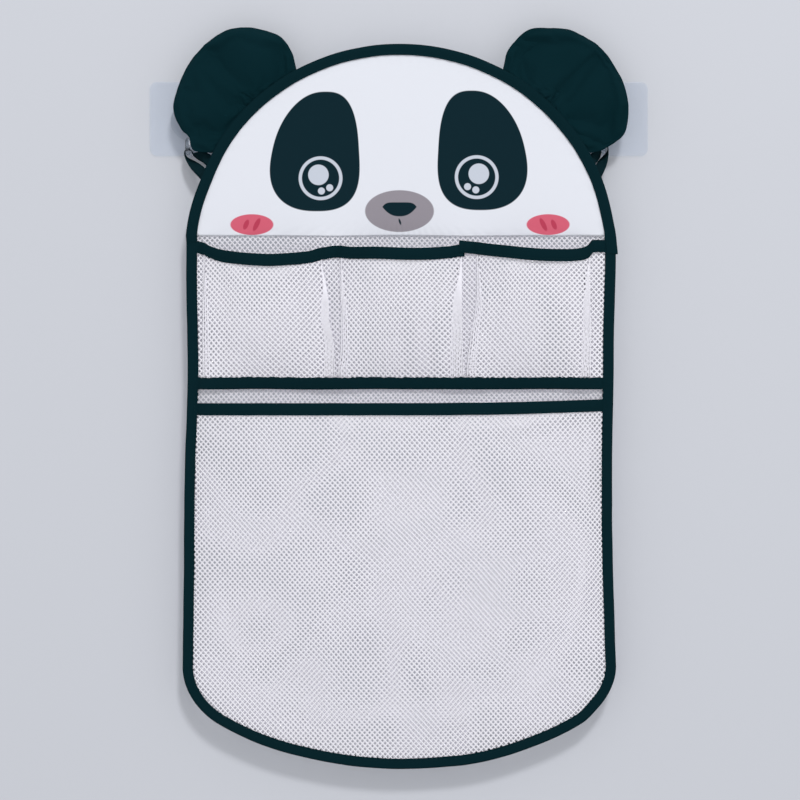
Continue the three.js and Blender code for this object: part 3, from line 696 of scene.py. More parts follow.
# left and right pleat of each pocket: fold edge as height and x, take-up at rim and foot, drawn threads
pleats = [
    (([(-199, -157.5), (-115, -156.5)], 1.5, 5.0, 3),
     ([(-199, -52.2), (-178, -53), (-162, -56.3), (-138, -57.9), (-117, -62.4)], 2.5, 8.0, 7)),
    (([(-199, -49), (-184, -46.8), (-119, -47.2)], 1.5, 6.0, 4),
     ([(-206, 51.2), (-168, 49.3), (-111, 49.6)], 3.0, 10.5, 8)),
    (([(-198, 53.6), (-172, 56.8), (-148, 60.8), (-122, 61.6)], 2.0, 6.4, 4),
     ([(-195, 152.3), (-148, 151.4), (-112, 150.6)], 3.5, 7.0, 6)),
]
# top edge of the rim tape: two lengths, the right one lapped over the left one
rimLines = [
    [(-164, -96.8), (-160.5, -97.6), (-155.7, -99.2), (-152.2, -101.3), (-143.7, -104.4), (-131.7, -106.9),
     (-120, -108.2), (-104, -109.1), (-88, -108.2), (-72, -106), (-64, -103.2), (-59, -102.2),
     (-54, -101.2), (-48, -101.2), (-40, -102.3), (-16, -103.4), (16, -104.1), (40, -101.9),
     (45, -100.8), (51, -100.2)],
    [(47.6, -97.1), (51, -97.2), (60, -98.2), (72, -100.4), (88, -102.7), (104, -104.4), (120, -105.2),
     (136, -104.8), (144, -103.6), (148, -102.2), (150.6, -100.4), (152.8, -97.3), (155, -96.6),
     (164, -96.5)],
]
rimLap = 48


def rimLine(x):
    return curveAt(rimLines[0 if x < rimLap else 1], x)


def pocketDepth(x, z):
    p = pocketRow
    if abs(x) >= p["half"]:
        return p["front"]
    rise = clamp((z - p["foot"]) / (rimLine(x) - 1 - p["foot"]))
    swell = 1 - math.cos(math.pi * (x + p["half"]) / pocketWidth) ** 4
    return p["front"] + p["swell"] * swell * math.sin(rise * math.pi / 2)


def pleatAt(index, side, z):
    # fold edge, seam, take-up and bend of one pleat at one height
    p = pocketRow
    folds, atRim, atFoot, _ = pleats[index][side > 0]
    rise = clamp((z - p["foot"]) / (p["rim"] - p["foot"]))
    seam = curveAt(seams[index + (side > 0)], z)
    bend = mix(p["pressed"], p["open"], math.sin(math.pi * rise))
    return curveAt(folds, z), seam, mix(atFoot, atRim, rise), bend


def layerLift(inset, taken, bend):  # the layers of a pleat lie 4, 2 and 1 bends off the pocket
    return 4 * bend * ease((taken + lap["from"] - inset) / lap["over"])


def pleatedSpot(s, z):
    # where a point of the flat strip comes to lie: x, forward and how far the net is turned over there
    flat = pocketWidth + 2 * pocketRow["slack"]
    index = int(clamp(math.floor(s / flat + 1.5), 0, 2))
    run = 2 * (s / flat - index + 1)
    side = 1 if run > 0 else -1
    edge, seam, taken, bend = pleatAt(index, side, z)
    middle = (index - 1) * pocketWidth
    front, turn = side * (edge - middle) - bend, math.pi * bend
    under = side * (seam - edge) + bend + taken
    walked = abs(run) * (front + turn + taken + under)
    if walked <= front:
        x = middle + side * walked
        return x, pocketDepth(x, z) + layerLift(front - walked, taken, bend), 0
    walked -= front
    if walked <= turn:
        angle = walked / bend
        x = edge + side * bend * (math.sin(angle) - 1)
        return x, pocketDepth(x, z) + bend * (3 + math.cos(angle)), side * angle
    walked -= turn
    if walked <= taken:
        x = edge - side * (bend + walked)
        return x, pocketDepth(x, z) + bend * (2 - walked / taken), math.pi
    walked -= taken
    x = edge + side * (walked - bend - taken)
    return x, pocketDepth(x, z) + bend * clamp(1 - walked / under), 0


def rowFront(x, z):  # how far forward the outermost layer of the pocket row stands
    lift = 0
    for index in range(3):
        for side in (-1, 1):
            edge, _, taken, bend = pleatAt(index, side, z)
            inset = side * (edge - x)
            if inset < pocketWidth / 2:
                shown = ease((inset + lap["past"]) / lap["fade"])
                lift = max(lift, layerLift(inset, taken, bend) * shown)
    return pocketDepth(x, z) + lift


def creaseShape(index, side, share):  # one drawn thread; the further from the fold, the lower it starts
    high = rimLine(pleatAt(index, side, pocketRow["rim"])[0]) - crease["below"] - crease["fan"] * share

    def spot(u, t):
        z = mix(pocketRow["foot"], high, u)
        edge, _, taken, _ = pleatAt(index, side, z)
        waver = crease["waver"] * wander(share * crease["apart"], z, crease["waverOver"], index * 2 + side)
        x = edge - side * (crease["inset"] + share * taken) + waver
        return place(x + (t - 0.5) * crease["wide"], rowFront(x, z) + crease["proud"], z)

    return gridShape(crease["steps"], 1, spot, crease["thick"])


def makePocketNet():
    p = pocketRow
    reach = 3 * (pocketWidth / 2 + p["slack"])

    def inside(s, z):
        return p["low"] < z < rimLine(pleatedSpot(s, z)[0]) - p["underRim"] and abs(s) < reach

    bm = netShape(-reach, reach, p["low"], p["top"], inside, 12, p["strand"])
    for v in bm.verts:
        s, z, lift = v.co
        x, forward, turned = pleatedSpot(clamp(s, -reach, reach), z)
        v.co = place(x + lift * math.sin(turned), forward + lift * math.cos(turned), z)
    for index in range(3):
        for side in (-1, 1):
            threads = pleats[index][side > 0][3]
            for i in range(threads):
                addShape(bm, creaseShape(index, side, i / (threads - 1)))
    return asPiece(bm, "upperPocketNet", netLook, "white_net")


upperPocketNet = makePocketNet()
print("pleated pocket row made")

# large pocket
bigPocket = {"rim": [(-165, -227.8), (-110, -227.8), (60, -227.4), (120, -226), (165, -224.6)], "top": -222,
             "underRim": 2, "half": 160, "front": 1.2, "swell": 22, "flange": 8.3, "turn": 0.02,
             "strand": 1.35, "sway": 0.9, "swayOver": 80}


def bigDepth(x, z):
    p = bigPocket
    side = sideHalf(z, x) - p["flange"]
    foot = lowEdge(clamp(x, -p["half"], p["half"]), p["flange"])
    if abs(x) >= side or z <= foot:
        return p["front"]
    rise = clamp((z - foot) / (curveAt(p["rim"], x) - 1 - foot))
    full = (1 - (x / side) ** 4) * math.sin(rise * math.pi / 2)
    return p["front"] + (p["swell"] + p["sway"] * wander(x, z, p["swayOver"], 3)) * full


def makeBigPocket():
    p = bigPocket
    half = bag["cornerHalf"]

    def inside(x, z):
        return insideBag(x, z, backNet["inset"]) and z < curveAt(p["rim"], x) - p["underRim"]

    bm = netShape(-half, half, bagFoot, p["top"], inside, 13, p["strand"], p["turn"])
    for v in bm.verts:
        x, z, lift = v.co
        v.co = place(x, bigDepth(x, z) + lift, z)
    return asPiece(bm, "lowerPocketNet", netLook, "white_net")


lowerPocketNet = makeBigPocket()
print("large pocket made")

# folded tapes round the edges
edgeTape = {"front": {"head": 9.1, "side": 8.8, "lower": 8.5}, "back": 8.6, "thick": 0.5, "stitch": 6.3,
            "wobble": 0.25, "wobbleOver": 22, "top": -88, "over": 0.5, "crowding": 1.7,
            "rightLap": (14.6, 1.1), "leftLap": (5, -0.45),  # the head tape below the hem: length and flare
            "steps": {"head": 130, "turn": 6, "side": 40, "flank": 60, "corner": 24, "bottom": 80}}
edgeFold = {"cut": 2.05, "hem": (1.7, 2.0), "bulge": (0.55, 2.4), "turn": [(1.6, 2.3), (0.25, 1.3)]}


def edgePoint(x, z, nx, nz, seed):
    shake = edgeTape["wobble"] * wander(x, z, edgeTape["wobbleOver"], seed)
    return place(x + nx * shake, 0, z + nz * shake), Vector((nx, 0, nz)), Vector((0, -1, 0)), 1


def headPath():
    # from the lapped raw end on the right, over the head, to the end on the left
    def straight(side, below, flare):
        steps = []
        for t in (1, 0.8, 0.6, 0.4, 0.2):
            z = bag["hem"] - below * t
            steps.append(edgePoint(side * (sideHalf(z, side) + flare * t), z, side, 0, 4))
        return steps

    start = math.asin((bag["hem"] - bag["headCentre"]) / bag["headRise"])
    count, turn = edgeTape["steps"]["head"], edgeTape["steps"]["turn"]
    arch = []
    for i in range(count + 1):
        a = mix(start, math.pi - start, i / count)
        x = bag["headHalf"] * math.cos(a)
        z = bag["headCentre"] + bag["headRise"] * math.sin(a)
        n = Vector((math.cos(a) / bag["headHalf"], math.sin(a) / bag["headRise"])).normalized()
        side = 1 if x > 0 else -1
        bent = clamp(i / turn) * clamp((count - i) / turn)  # out of the straight ends
        n = Vector((side, 0)).lerp(n, bent).normalized()
        x += side * curveAt(headDrift[side], z)
        arch.append(edgePoint(x, z, n.x, n.y, 4))
    return straight(1, *edgeTape["rightLap"]) + arch + straight(-1, *edgeTape["leftLap"])[::-1]


def sidePath(side):
    count = edgeTape["steps"]["side"]
    path = []
    for i in range(count + 1):
        z = mix(edgeTape["top"], backNet["split"], i / count)
        path.append(edgePoint(side * sideHalf(z, side), z, side, 0, 5))
    return path


def lowerPath():
    # from the right end, round the bottom, to the left end
    steps = edgeTape["steps"]

    def flank(side):
        path = []
        for i in range(steps["flank"]):  # closer together at the top, where the bag folds
            z = mix(backNet["split"], bag["cornerZ"], (i / steps["flank"]) ** edgeTape["crowding"])
            path.append((side * sideHalf(z, side), z, side, 0))
        drift = sideHalf(bag["cornerZ"], side) - bag["cornerHalf"]
        for i in range(steps["corner"]):
            t = i / steps["corner"]
            a = mix(math.pi / 2, cornerAngle, t)
            x = bag["cornerX"] + bag["cornerRadius"] * math.sin(a) + drift * ease(1 - t)
            z = bag["cornerZ"] - bag["cornerRadius"] * math.cos(a)
            path.append((side * x, z, side * math.sin(a), -math.cos(a)))
        return path

    bottom = []
    for i in range(steps["bottom"] + 1):
        a = mix(cornerAngle, -cornerAngle, i / steps["bottom"])
        z = bag["bottomCentre"] - bag["bottomRadius"] * math.cos(a)
        bottom.append((bag["bottomRadius"] * math.sin(a), z, math.sin(a), -math.cos(a)))
    path = []
    for x, z, nx, nz in flank(1) + bottom + flank(-1)[::-1]:
        out = curveAt(bottomDrift, x) if z < bag["cornerZ"] else 0
        path.append(edgePoint(x + nx * out, z + nz * out, nx, nz, 5))
    return path


def tapePiece(name, shape):
    return asPiece(shape, name, tapeLook, "dark_tape")


def stitchPiece(name, rows):
    return asPiece(stitchShape(rows), name, darkThreadLook, "dark_tape")


def makeTape(name, path, where, grow=0.0):
    section = foldSection(edgeTape["front"][where], edgeTape["back"], edgeFold, grow)
    tape = tapePiece(name, tapeShape(path, section, edgeTape["thick"]))
    rows = [tapeRow(path, edgeTape["stitch"] - grow, way * (edgeFold["cut"] + grow)) for way in (1, -1)]
    return tape, stitchPiece(name + "Stitches", rows)


headTape, headStitches = makeTape("headTape", headPath(), "head", edgeTape["over"])
leftTape, leftStitches = makeTape("leftSideTape", sidePath(-1), "side")
rightTape, rightStitches = makeTape("rightSideTape", sidePath(1), "side")
lowerTape, lowerStitches = makeTape("lowerTape", lowerPath(), "lower")
print("edge tapes made")

# tapes over the pocket mouths and along the foot of the pocket row
rimTape = {"wide": 9.7, "thick": 0.5, "stitch": 8.0, "stitchForward": 1.2, "under": 3.8, "step": 1.6,
           "pressed": 0.2, "pressedOver": 9, "waver": 0.15, "waverOver": 15,
           "lift": (0.4, 1.1), "upperEnds": (-101, -101), "lowerEnds": (-231, -229), "aboveNet": 0.9}
rimFold = {"cut": 1.15, "hem": (1.5, 1.1), "bulge": (0.5, 1.45), "turn": [(1.0, 1.3), (0.15, 0.7)]}


def tapeEnd(side, z):  # x at which a tape across the bag ends, under a side tape
    return side * (sideHalf(z, side) - edgeTape["front"]["side"] + rimTape["under"])


def rimPath(line, depth, start, end, lift, pressed, above=0.0):
    # along a pocket mouth; pressed says which ends are sewn flat into the side tapes
    r = rimTape
    count = round((end - start) / r["step"])
    path = []
    for i in range(count + 1):
        x = mix(start, end, i / count)
        z = curveAt(line, x) + above
        front = max(depth(x, z - 1), depth(x, z - r["wide"]))
        slope = (depth(x + 2, z - 1) - depth(x - 2, z - 1)) / 4
        gaps = [gap for gap, sewn in zip((x - start, end - x), pressed) if sewn]
        flat = ease(min(gaps) / r["pressedOver"])
        point = place(x, front + lift * flat, z + r["waver"] * wander(x, 0, r["waverOver"], 6))
        forward = Vector((slope, -1, 0)).normalized()
        path.append((point, Vector((0, 0, 1)), forward, mix(r["pressed"], 1, flat)))
    return path


def makeRim(name, paths):
    bm = bmesh.new()
    section = foldSection(rimTape["wide"], rimTape["wide"], rimFold)
    for path in paths:
        addShape(bm, tapeShape(path, section, rimTape["thick"]))
    rows = [tapeRow(path, rimTape["stitch"], rimTape["stitchForward"]) for path in paths]
    return tapePiece(name + "Tape", bm), stitchPiece(name + "Stitches", rows)


def upperPaths():
    left, right = (tapeEnd(side, z) for side, z in zip((-1, 1), rimTape["upperEnds"]))
    first, second = rimLines
    below, over = rimTape["lift"]
    return [rimPath(first, rowFront, left, first[-1][0], below, (True, False)),
            rimPath(second, rowFront, second[0][0], right, over, (False, True))]


def lowerRimPath():
    left, right = (tapeEnd(side, z) for side, z in zip((-1, 1), rimTape["lowerEnds"]))
    return rimPath(bigPocket["rim"], bigDepth, left, right, 0, (True, True), rimTape["aboveNet"])


upperRimTape, upperRimStitches = makeRim("upperRim", upperPaths())
lowerRimTape, lowerRimStitches = makeRim("lowerRim", [lowerRimPath()])

footTape = {"z": -211.1, "half": 4.8, "over": 0.85, "pressed": 0.2, "pressedOver": 8, "thick": 0.5,
            "stitch": 1.4, "stitchEnds": 6, "sway": 0.5, "swayOver": 45, "jag": 0.9, "jagOver": 1.7,
            "curl": 0.2, "steps": 200, "rows": 8, "stitchSteps": 160}
footEnds = tapeEnd(-1, footTape["z"]), tapeEnd(1, footTape["z"])


def footDepth(x):  # the tape rises over the folded layers of the pleats
    f = footTape
    left, right = footEnds
    over = mix(f["pressed"], f["over"], ease(min(x - left, right - x) / f["pressedOver"]))
    return rowFront(x, pocketRow["foot"]) + over


def footSpot(x, share):  # share runs from the lower edge to the upper one
    f = footTape
    z = f["z"] + f["half"] * (2 * share - 1) + f["sway"] * wander(x, 0, f["swayOver"], 7)
    z += f["jag"] * share ** 3 * wander(x, 0, f["jagOver"], 8)
    return place(x, footDepth(x) - f["curl"] * (2 * share - 1) ** 4, z)


def makeFootTape():
    f = footTape
    left, right = footEnds
    bm = gridShape(f["steps"], f["rows"], lambda u, t: footSpot(mix(left, right, u), t), f["thick"])
    inset = f["stitch"] / (2 * f["half"])
    first, last = left + f["stitchEnds"], right - f["stitchEnds"]
    spots = [mix(first, last, i / f["stitchSteps"]) for i in range(f["stitchSteps"] + 1)]
    rows = [[(footSpot(x, share), Vector((0, -1, 0))) for x in spots] for share in (inset, 1 - inset)]
    return tapePiece("upperFootTape", bm), stitchPiece("upperFootStitches", rows)


footStrip, footStitches = makeFootTape()

divider = {"foot": -206, "top": -110, "forward": 0.5, "steps": 30}


def makeDivider(side):  # white seam that holds the strip to the back net
    line = []
    for i in range(divider["steps"] + 1):
        z = mix(divider["foot"], divider["top"], i / divider["steps"])
        x = curveAt(seams[1 if side < 0 else 2], z)
        line.append((place(x, pocketRow["front"] + divider["forward"], z), Vector((0, -1, 0))))
    return asPiece(stitchShape([line]), sideName[side] + "DividerSeam", threadLook, "white_thread")


leftDivider, rightDivider = makeDivider(-1), makeDivider(1)
print("pocket tapes and seams made")

# printed face and lining of the head
head = {"middle": -40, "inset": 2.2, "pucker": 0.35, "puckers": 70, "puckerReach": 16, "puckerShift": 2,
        "puckerOver": 30, "sway": 0.35, "swayOver": 90, "steps": 72,
        "face": {"forward": 1.5, "thick": 0.7, "aboveHem": 0, "uneven": 1},
        "lining": {"forward": -0.8, "thick": 0.7, "aboveHem": 1.5, "uneven": 0.5}}


def discPoint(u, t):  # square to round: angle and share of the reach
    a, b = 2 * u - 1, 2 * t - 1
    dx, dz = a * math.sqrt(1 - b * b / 2), b * math.sqrt(1 - a * a / 2)
    return math.atan2(dz, dx), min(1, math.hypot(dx, dz))


def headReach(angle, hem):  # from the middle of the head to its edge
    c, s = math.cos(angle), math.sin(angle)
    wide, tall = bag["headHalf"] - head["inset"], bag["headRise"] - head["inset"]
    oz = head["middle"] - bag["headCentre"]
    a = (c / wide) ** 2 + (s / tall) ** 2
    b = oz * s / tall ** 2
    reach = (-b + math.sqrt(b * b - a * ((oz / tall) ** 2 - 1))) / a
    if s < 0:
        reach = min(reach, (hem - head["middle"]) / s)
    return reach


def headSheet(name, sheet, look, slot):
    def spot(u, t):
        angle, share = discPoint(u, t)
        reach = headReach(angle, bag["hem"] + sheet["aboveHem"])
        x = math.cos(angle) * reach * share
        z = head["middle"] + math.sin(angle) * reach * share
        edge = clamp(1 - reach * (1 - share) / head["puckerReach"])
        shift = head["puckerShift"] * wander(x, z, head["puckerOver"], 8)
        lift = head["pucker"] * edge * math.sin(angle * head["puckers"] + shift)
        lift += head["sway"] * wander(x, z, head["swayOver"], 9) * (1 - edge)
        return place(x, sheet["forward"] + sheet["uneven"] * lift, z)

    bm = gridShape(head["steps"], head["steps"], spot, 0)
    faceForward(bm)
    thicken(bm, sheet["thick"])
    return asPiece(bm, name, look, slot)


facePanel = headSheet("facePanel", head["face"], faceLook, "face_cloth")
headLining = headSheet("headLining", head["lining"], liningLook, "lining_cloth")
print("head made")

# sewn ear covers puffed with wadding
ear = {"middle": (128, 22), "front": 6.0, "back": 2.0, "rim": 0.55, "rimShare": 0.125, "tuck": 1.6,
       "weld": 0.02, "sewn": 0.05, "frames": 20, "steps": 40}
earCloth = {"quality": 5, "mass": 0.05, "tension_stiffness": 8, "compression_stiffness": 8,
            "shear_stiffness": 4, "bending_stiffness": 0.05, "shrink_min": -0.035, "use_pressure": True,
            "uniform_pressure_force": 3.0, "vertex_group_mass": "rim"}
earOutlines = {
    -1: [(-81.9, 39.6), (-86.4, 54), (-95.2, 66.2), (-108, 71.9), (-120, 74.4), (-128, 74.4), (-140, 71.7),
         (-151.2, 64.4), (-161.7, 54.2), (-169.1, 45.2), (-174.8, 34.8), (-179.4, 22.8), (-182.3, 10),
         (-180.5, 1.2), (-177.6, -4.2), (-174.2, -9.6), (-171, -12), (-168.5, -14), (-167.9, -20),
         (-166, -25), (-158, -26.5), (-148, -28)],
    1: [(81.6, 40.4), (86.2, 55.6), (91.4, 62.2), (104, 72.9), (120, 74), (134.4, 72.9), (147.6, 66.9),
        (159.5, 58.5), (171.8, 43.4), (178.8, 31.4), (183.5, 13.2), (181.7, -7), (179.4, -12.2),
        (167.5, -21.4), (160, -25.5), (148, -28)],
}


def earReach(side):
    cx, cz = side * ear["middle"][0], ear["middle"][1]
    circle = 2 * math.pi
    rim = sorted((math.atan2(z - cz, (x - cx) * side) % circle, math.hypot(x - cx, z - cz))
                 for x, z in earOutlines[side])
    around = [(a - circle, r) for a, r in rim[-2:]] + rim + [(a + circle, r) for a, r in rim[:2]]

    def headGap(angle):  # way to the edge of the head, a little inside it
        dx, dz = math.cos(angle) * side, math.sin(angle)
        wide, tall = bag["headHalf"] - ear["tuck"], bag["headRise"] - ear["tuck"]
        ox, oz = cx / wide, (cz - bag["headCentre"]) / tall
        ux, uz = dx / wide, dz / tall
        a, b = ux * ux + uz * uz, ox * ux + oz * uz
        root = b * b - a * (ox * ox + oz * oz - 1)
        if root < 0 or b > 0:
            return math.inf
        return (-b - math.sqrt(root)) / a

    def reach(angle):
        return min(curveAt(around, angle % circle), headGap(angle % circle))

    return reach


def earShape(side):
    reach = earReach(side)
    cx, cz = side * ear["middle"][0], ear["middle"][1]

    def cover(sign):
        def spot(u, t):
            angle, share = discPoint(u, t)
            far = reach(angle) * share
            lift = sign * ear["rim"] * min(1, (1 - share) / ear["rimShare"])
            return place(cx + side * math.cos(angle) * far, lift, cz + math.sin(angle) * far)
        return gridShape(ear["steps"], ear["steps"], spot, 0)

    bm = cover(1)
    addShape(bm, cover(-1))
    bmesh.ops.remove_doubles(bm, verts=bm.verts[:], dist=ear["weld"] * mm)
    outward(bm)
    return bm


def puffEar(piece):
    # wadding pushes the two covers apart; the sewn rim stays where it is
    middle = -bag["depth"] * mm
    rim = [v.index for v in piece.data.vertices if abs(v.co.y - middle) < ear["sewn"] * mm]
    piece.vertex_groups.new(name="rim").add(rim, 1.0, "REPLACE")
    cloth = piece.modifiers.new("puff", "CLOTH")
    for key, value in earCloth.items():
        setattr(cloth.settings, key, value)
    cloth.settings.effector_weights.gravity = 0
    cloth.collision_settings.use_collision = False
    for step in range(1, ear["frames"] + 1):
        bpy.context.scene.frame_set(step)
    puffed = piece.evaluated_get(bpy.context.evaluated_depsgraph_get())
    moved = [v.co.copy() for v in puffed.to_mesh().vertices]
    puffed.to_mesh_clear()
    piece.modifiers.remove(cloth)
    bpy.context.scene.frame_set(1)
    return moved


def makeEar(side):
    piece = asPiece(earShape(side), sideName[side] + "Ear", earLook, "ear_cloth")
    middle = -bag["depth"] * mm
    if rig.quick():
        moved = [v.co.copy() for v in piece.data.vertices]
    else:
        moved = puffEar(piece)
    tallest = max(middle - p.y for p in moved) or 1
    deepest = max(p.y - middle for p in moved) or 1
    for v, p in zip(piece.data.vertices, moved):
        away = middle - p.y
        limit = ear["front"] * mm / tallest if away > 0 else ear["back"] * mm / deepest
        v.co = Vector((p.x, middle - away * limit, p.z))
    smooth = piece.modifiers.new("smooth", "SUBSURF")
    smooth.levels = smooth.render_levels = 1
    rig.padded(piece, fill=0.35)
    return piece


leftEar, rightEar = makeEar(-1), makeEar(1)
print("ears made")

# ribbon loops and clear hooks; the left hook hangs a little further out than the right one
hook = {"at": {-1: (170.6, -25.3), 1: (165.3, -22)}, "disc": 15, "above": 26.5, "foot": 3, "back": 1.1,
        "thick": 2.2, "rounding": 0.6, "arm": 2.1, "bend": 3, "tip": 9.3, "reach": 13.9,
        "tipShrink": 0.72, "tipRise": 0.36, "tipSteps": 3, "bendSteps": 10, "armSides": 20,
        "discArc": (-76, 256, 36), "footArc": (180, 360, 12)}  # from, to and how many points
loop = {"wide": 8.8, "gathered": 7, "thick": 0.6, "depth": 7.1, "armGap": 2.8,
        "inner": (152.5, 15.6, -33), "outer": (157.9, 15.6, -43.2), "tail": 13, "bow": {-1: 3.5, 1: 0},
        "legSteps": 14, "topSteps": 10, "across": 4}


def loopFrames(side):
    # out of the head at the inner root, over the hook arm and back in at the outer root
    hookX, hookZ = hook["at"][side]
    frames = []

    def leg(root, lean, bow):
        rootAt = Vector((root[0], -root[1], root[2]))
        arm = Vector((hookX + lean * loop["armGap"], -loop["depth"], hookZ))
        along = (arm - rootAt).normalized()
        along.y = 0
        along.normalize()
        steps = [(rootAt - along * loop["tail"], along, 0), (rootAt - along * loop["tail"] / 2, along, 0)]
        pull = (arm - rootAt).length / 3
        b0, b1 = rootAt, rootAt + along * pull + Vector((0, 0, bow))
        b2, b3 = arm - Vector((0, 0, pull / 2)), arm
        for i in range(loop["legSteps"] + 1):
            t = i / loop["legSteps"]
            k = 1 - t
            point = b0 * k ** 3 + b1 * 3 * k * k * t + b2 * 3 * k * t * t + b3 * t ** 3
            tangent = ((b1 - b0) * k * k + (b2 - b1) * 2 * k * t + (b3 - b2) * t * t).normalized()
            steps.append((point, tangent, ease(t)))
        return steps

    def turned(point, along, twist):
        flat = Vector((along.z, 0, -along.x)).normalized()
        wide = flat * math.cos(twist * math.pi / 2) + Vector((0, 1, 0)) * math.sin(twist * math.pi / 2)
        return point, wide * mix(1, loop["gathered"] / loop["wide"], twist)

    for point, along, twist in leg(loop["inner"], -1, loop["bow"][side]):
        frames.append(turned(point, along, twist))
    for i in range(1, loop["topSteps"]):
        a = math.pi * (1 - i / loop["topSteps"])
        x, z = hookX + loop["armGap"] * math.cos(a), hookZ + loop["armGap"] * math.sin(a)
        frames.append((Vector((x, -loop["depth"], z)), Vector((0, loop["gathered"] / loop["wide"], 0))))
    for point, along, twist in reversed(leg(loop["outer"], 1, 0)):
        frames.append(turned(point, -along, twist))
    return [(Vector((p.x * side, p.y, p.z)) * mm, Vector((w.x * side, w.y, w.z))) for p, w in frames]


def makeLoop(side):
    frames = loopFrames(side)
    count = len(frames) - 1

    def spot(u, t):
        point, wide = frames[round(u * count)]
        return point + wide * ((t - 0.5) * loop["wide"] * mm)

    bm = gridShape(count, loop["across"], spot, loop["thick"])
    outward(bm)
    return asPiece(bm, sideName[side] + "Loop", ribbonLook, "dark_ribbon")


leftLoop, rightLoop = makeLoop(-1), makeLoop(1)

pad = {"size": 60, "corner": 6, "thick": 0.8, "rounding": 0.25, "x": {-1: -173, 1: 171}, "z": 3.5}


rimAngle = 1.2  # an edge that turns further, in radians, is a rim


def roundRims(bm, offset, segments):
    rims = [e for e in bm.edges if e.calc_face_angle(0) > rimAngle]
    bmesh.ops.bevel(bm, geom=rims, offset=offset * mm, affect="EDGES", segments=segments,
                    profile=0.5, material=-1)


def extrude(bm, faces):
    grown = bmesh.ops.extrude_face_region(bm, geom=faces)["geom"]
    verts = [g for g in grown if isinstance(g, bmesh.types.BMVert)]
    return verts, [g for g in grown if isinstance(g, bmesh.types.BMFace)]


def makePad(side):
    bm = bmesh.new()
    bmesh.ops.create_grid(bm, x_segments=1, y_segments=1, size=pad["size"] / 2 * mm)
    bmesh.ops.bevel(bm, geom=bm.verts[:], offset=pad["corner"] * mm, affect="VERTICES", segments=10,
                    profile=0.5, material=-1)
    rotate(bm, math.pi / 2)
    move(bm, (pad["x"][side] * mm, -pad["thick"] * mm, pad["z"] * mm))
    thicken(bm, pad["thick"])
    roundRims(bm, pad["rounding"], segments=2)
    return asPiece(bm, sideName[side] + "Pad", filmLook, "clear_film")


def hookBase(drop):  # a disc with a stem down to a round foot
    h = hook
    bm = bmesh.new()
    outline = []
    for (first, last, count), radius, centre in ((h["discArc"], h["disc"], drop + h["above"]),
                                                 (h["footArc"], h["foot"], drop)):
        for i in range(count):
            a = math.radians(mix(first, last, i / (count - 1)))
            outline.append(Vector((radius * math.cos(a), -h["back"], centre + radius * math.sin(a))) * mm)
    bmesh.ops.create_circle(bm, cap_ends=True, segments=len(outline), radius=1)
    for v, point in zip(bm.verts, outline):
        v.co = point
    faceForward(bm)
    front, _ = extrude(bm, bm.faces[:])
    bmesh.ops.translate(bm, verts=front, vec=(0, -h["thick"] * mm, 0))
    outward(bm)
    roundRims(bm, h["rounding"], segments=3)
    return bm


def hookArm(drop):  # out from the foot, round a bend and up to a rounded tip
    h = hook
    bm = bmesh.new()
    bmesh.ops.create_circle(bm, cap_ends=True, segments=h["armSides"], radius=h["arm"] * mm)
    rotate(bm, math.pi / 2)
    root = h["back"] + h["thick"] / 2
    move(bm, (0, -root * mm, drop * mm))
    verts, end = extrude(bm, [bm.faces[:][-1]])
    bmesh.ops.translate(bm, verts=verts, vec=(0, -(h["reach"] - h["bend"] - root) * mm, 0))
    pivot = (0, -(h["reach"] - h["bend"]) * mm, (drop + h["bend"]) * mm)
    turned = bmesh.ops.spin(bm, geom=end, cent=pivot, axis=(1, 0, 0), angle=-math.pi / 2,
                            steps=h["bendSteps"])
    verts, tip = extrude(bm, [g for g in turned["geom_last"] if isinstance(g, bmesh.types.BMFace)])
    bmesh.ops.translate(bm, verts=verts, vec=(0, 0, (h["tip"] - h["bend"]) * mm))
    shrink = (h["tipShrink"], h["tipShrink"], 1)
    for _ in range(h["tipSteps"]):
        verts, tip = extrude(bm, tip)
        centre = sum((v.co for v in verts), Vector()) / len(verts)
        bmesh.ops.scale(bm, verts=verts, vec=shrink, space=Matrix.Translation(-centre))
        bmesh.ops.translate(bm, verts=verts, vec=(0, 0, h["arm"] * h["tipRise"] * mm))
    outward(bm)
    return bm


def makeHook(side):
    across, drop = hook["at"][side]
    base, arm = hookBase(drop), hookArm(drop)
    for bm in (base, arm):
        move(bm, (side * across * mm, 0, 0))
    name = sideName[side] + "Hook"
    piece = asPiece(base, name, plasticLook, "clear_plastic")
    tool = asPiece(arm, name + "Arm", plasticLook, "clear_plastic")
    join = piece.modifiers.new("join", "BOOLEAN")
    join.operation, join.object, join.solver = "UNION", tool, "EXACT"
    shaped = bpy.data.meshes.new_from_object(piece.evaluated_get(bpy.context.evaluated_depsgraph_get()))
    piece.modifiers.clear()
    piece.data = shaped
    for polygon in shaped.polygons:
        polygon.use_smooth = True
    bpy.data.objects.remove(tool)
    return piece


leftPad, rightPad = makePad(-1), makePad(1)
leftHook, rightHook = makeHook(-1), makeHook(1)
print("loops, pads and hooks made")

# what each piece stands for and moves with; how far from a joint cloth bends, in mm, and the part of a
# ribbon's way from hook to head that goes slack
bends = {"upper_fold": 5, "lower_fold": 4.8, "earIn": 6, "earOut": 9, "slack": (0.15, 0.75)}
joints = {joint["name"]: joint for joint in frame["joints"]}


def foldAt(name):
    hinge, reach = Vector(joints[name]["pos_m"]), Vector((0, 0, bends[name] * mm))
    return {"start": hinge + reach, "end": hinge - reach}


def earBend(word):  # across the seam, from the head into the ear
    seam = joints[f"{word}_ear_flop"]
    root, along = Vector(seam["pos_m"]), Vector(seam["axis"])
    out = Vector((-along.z, 0, along.x))
    return {"start": root - out * bends["earIn"] * mm, "end": root + out * bends["earOut"] * mm}


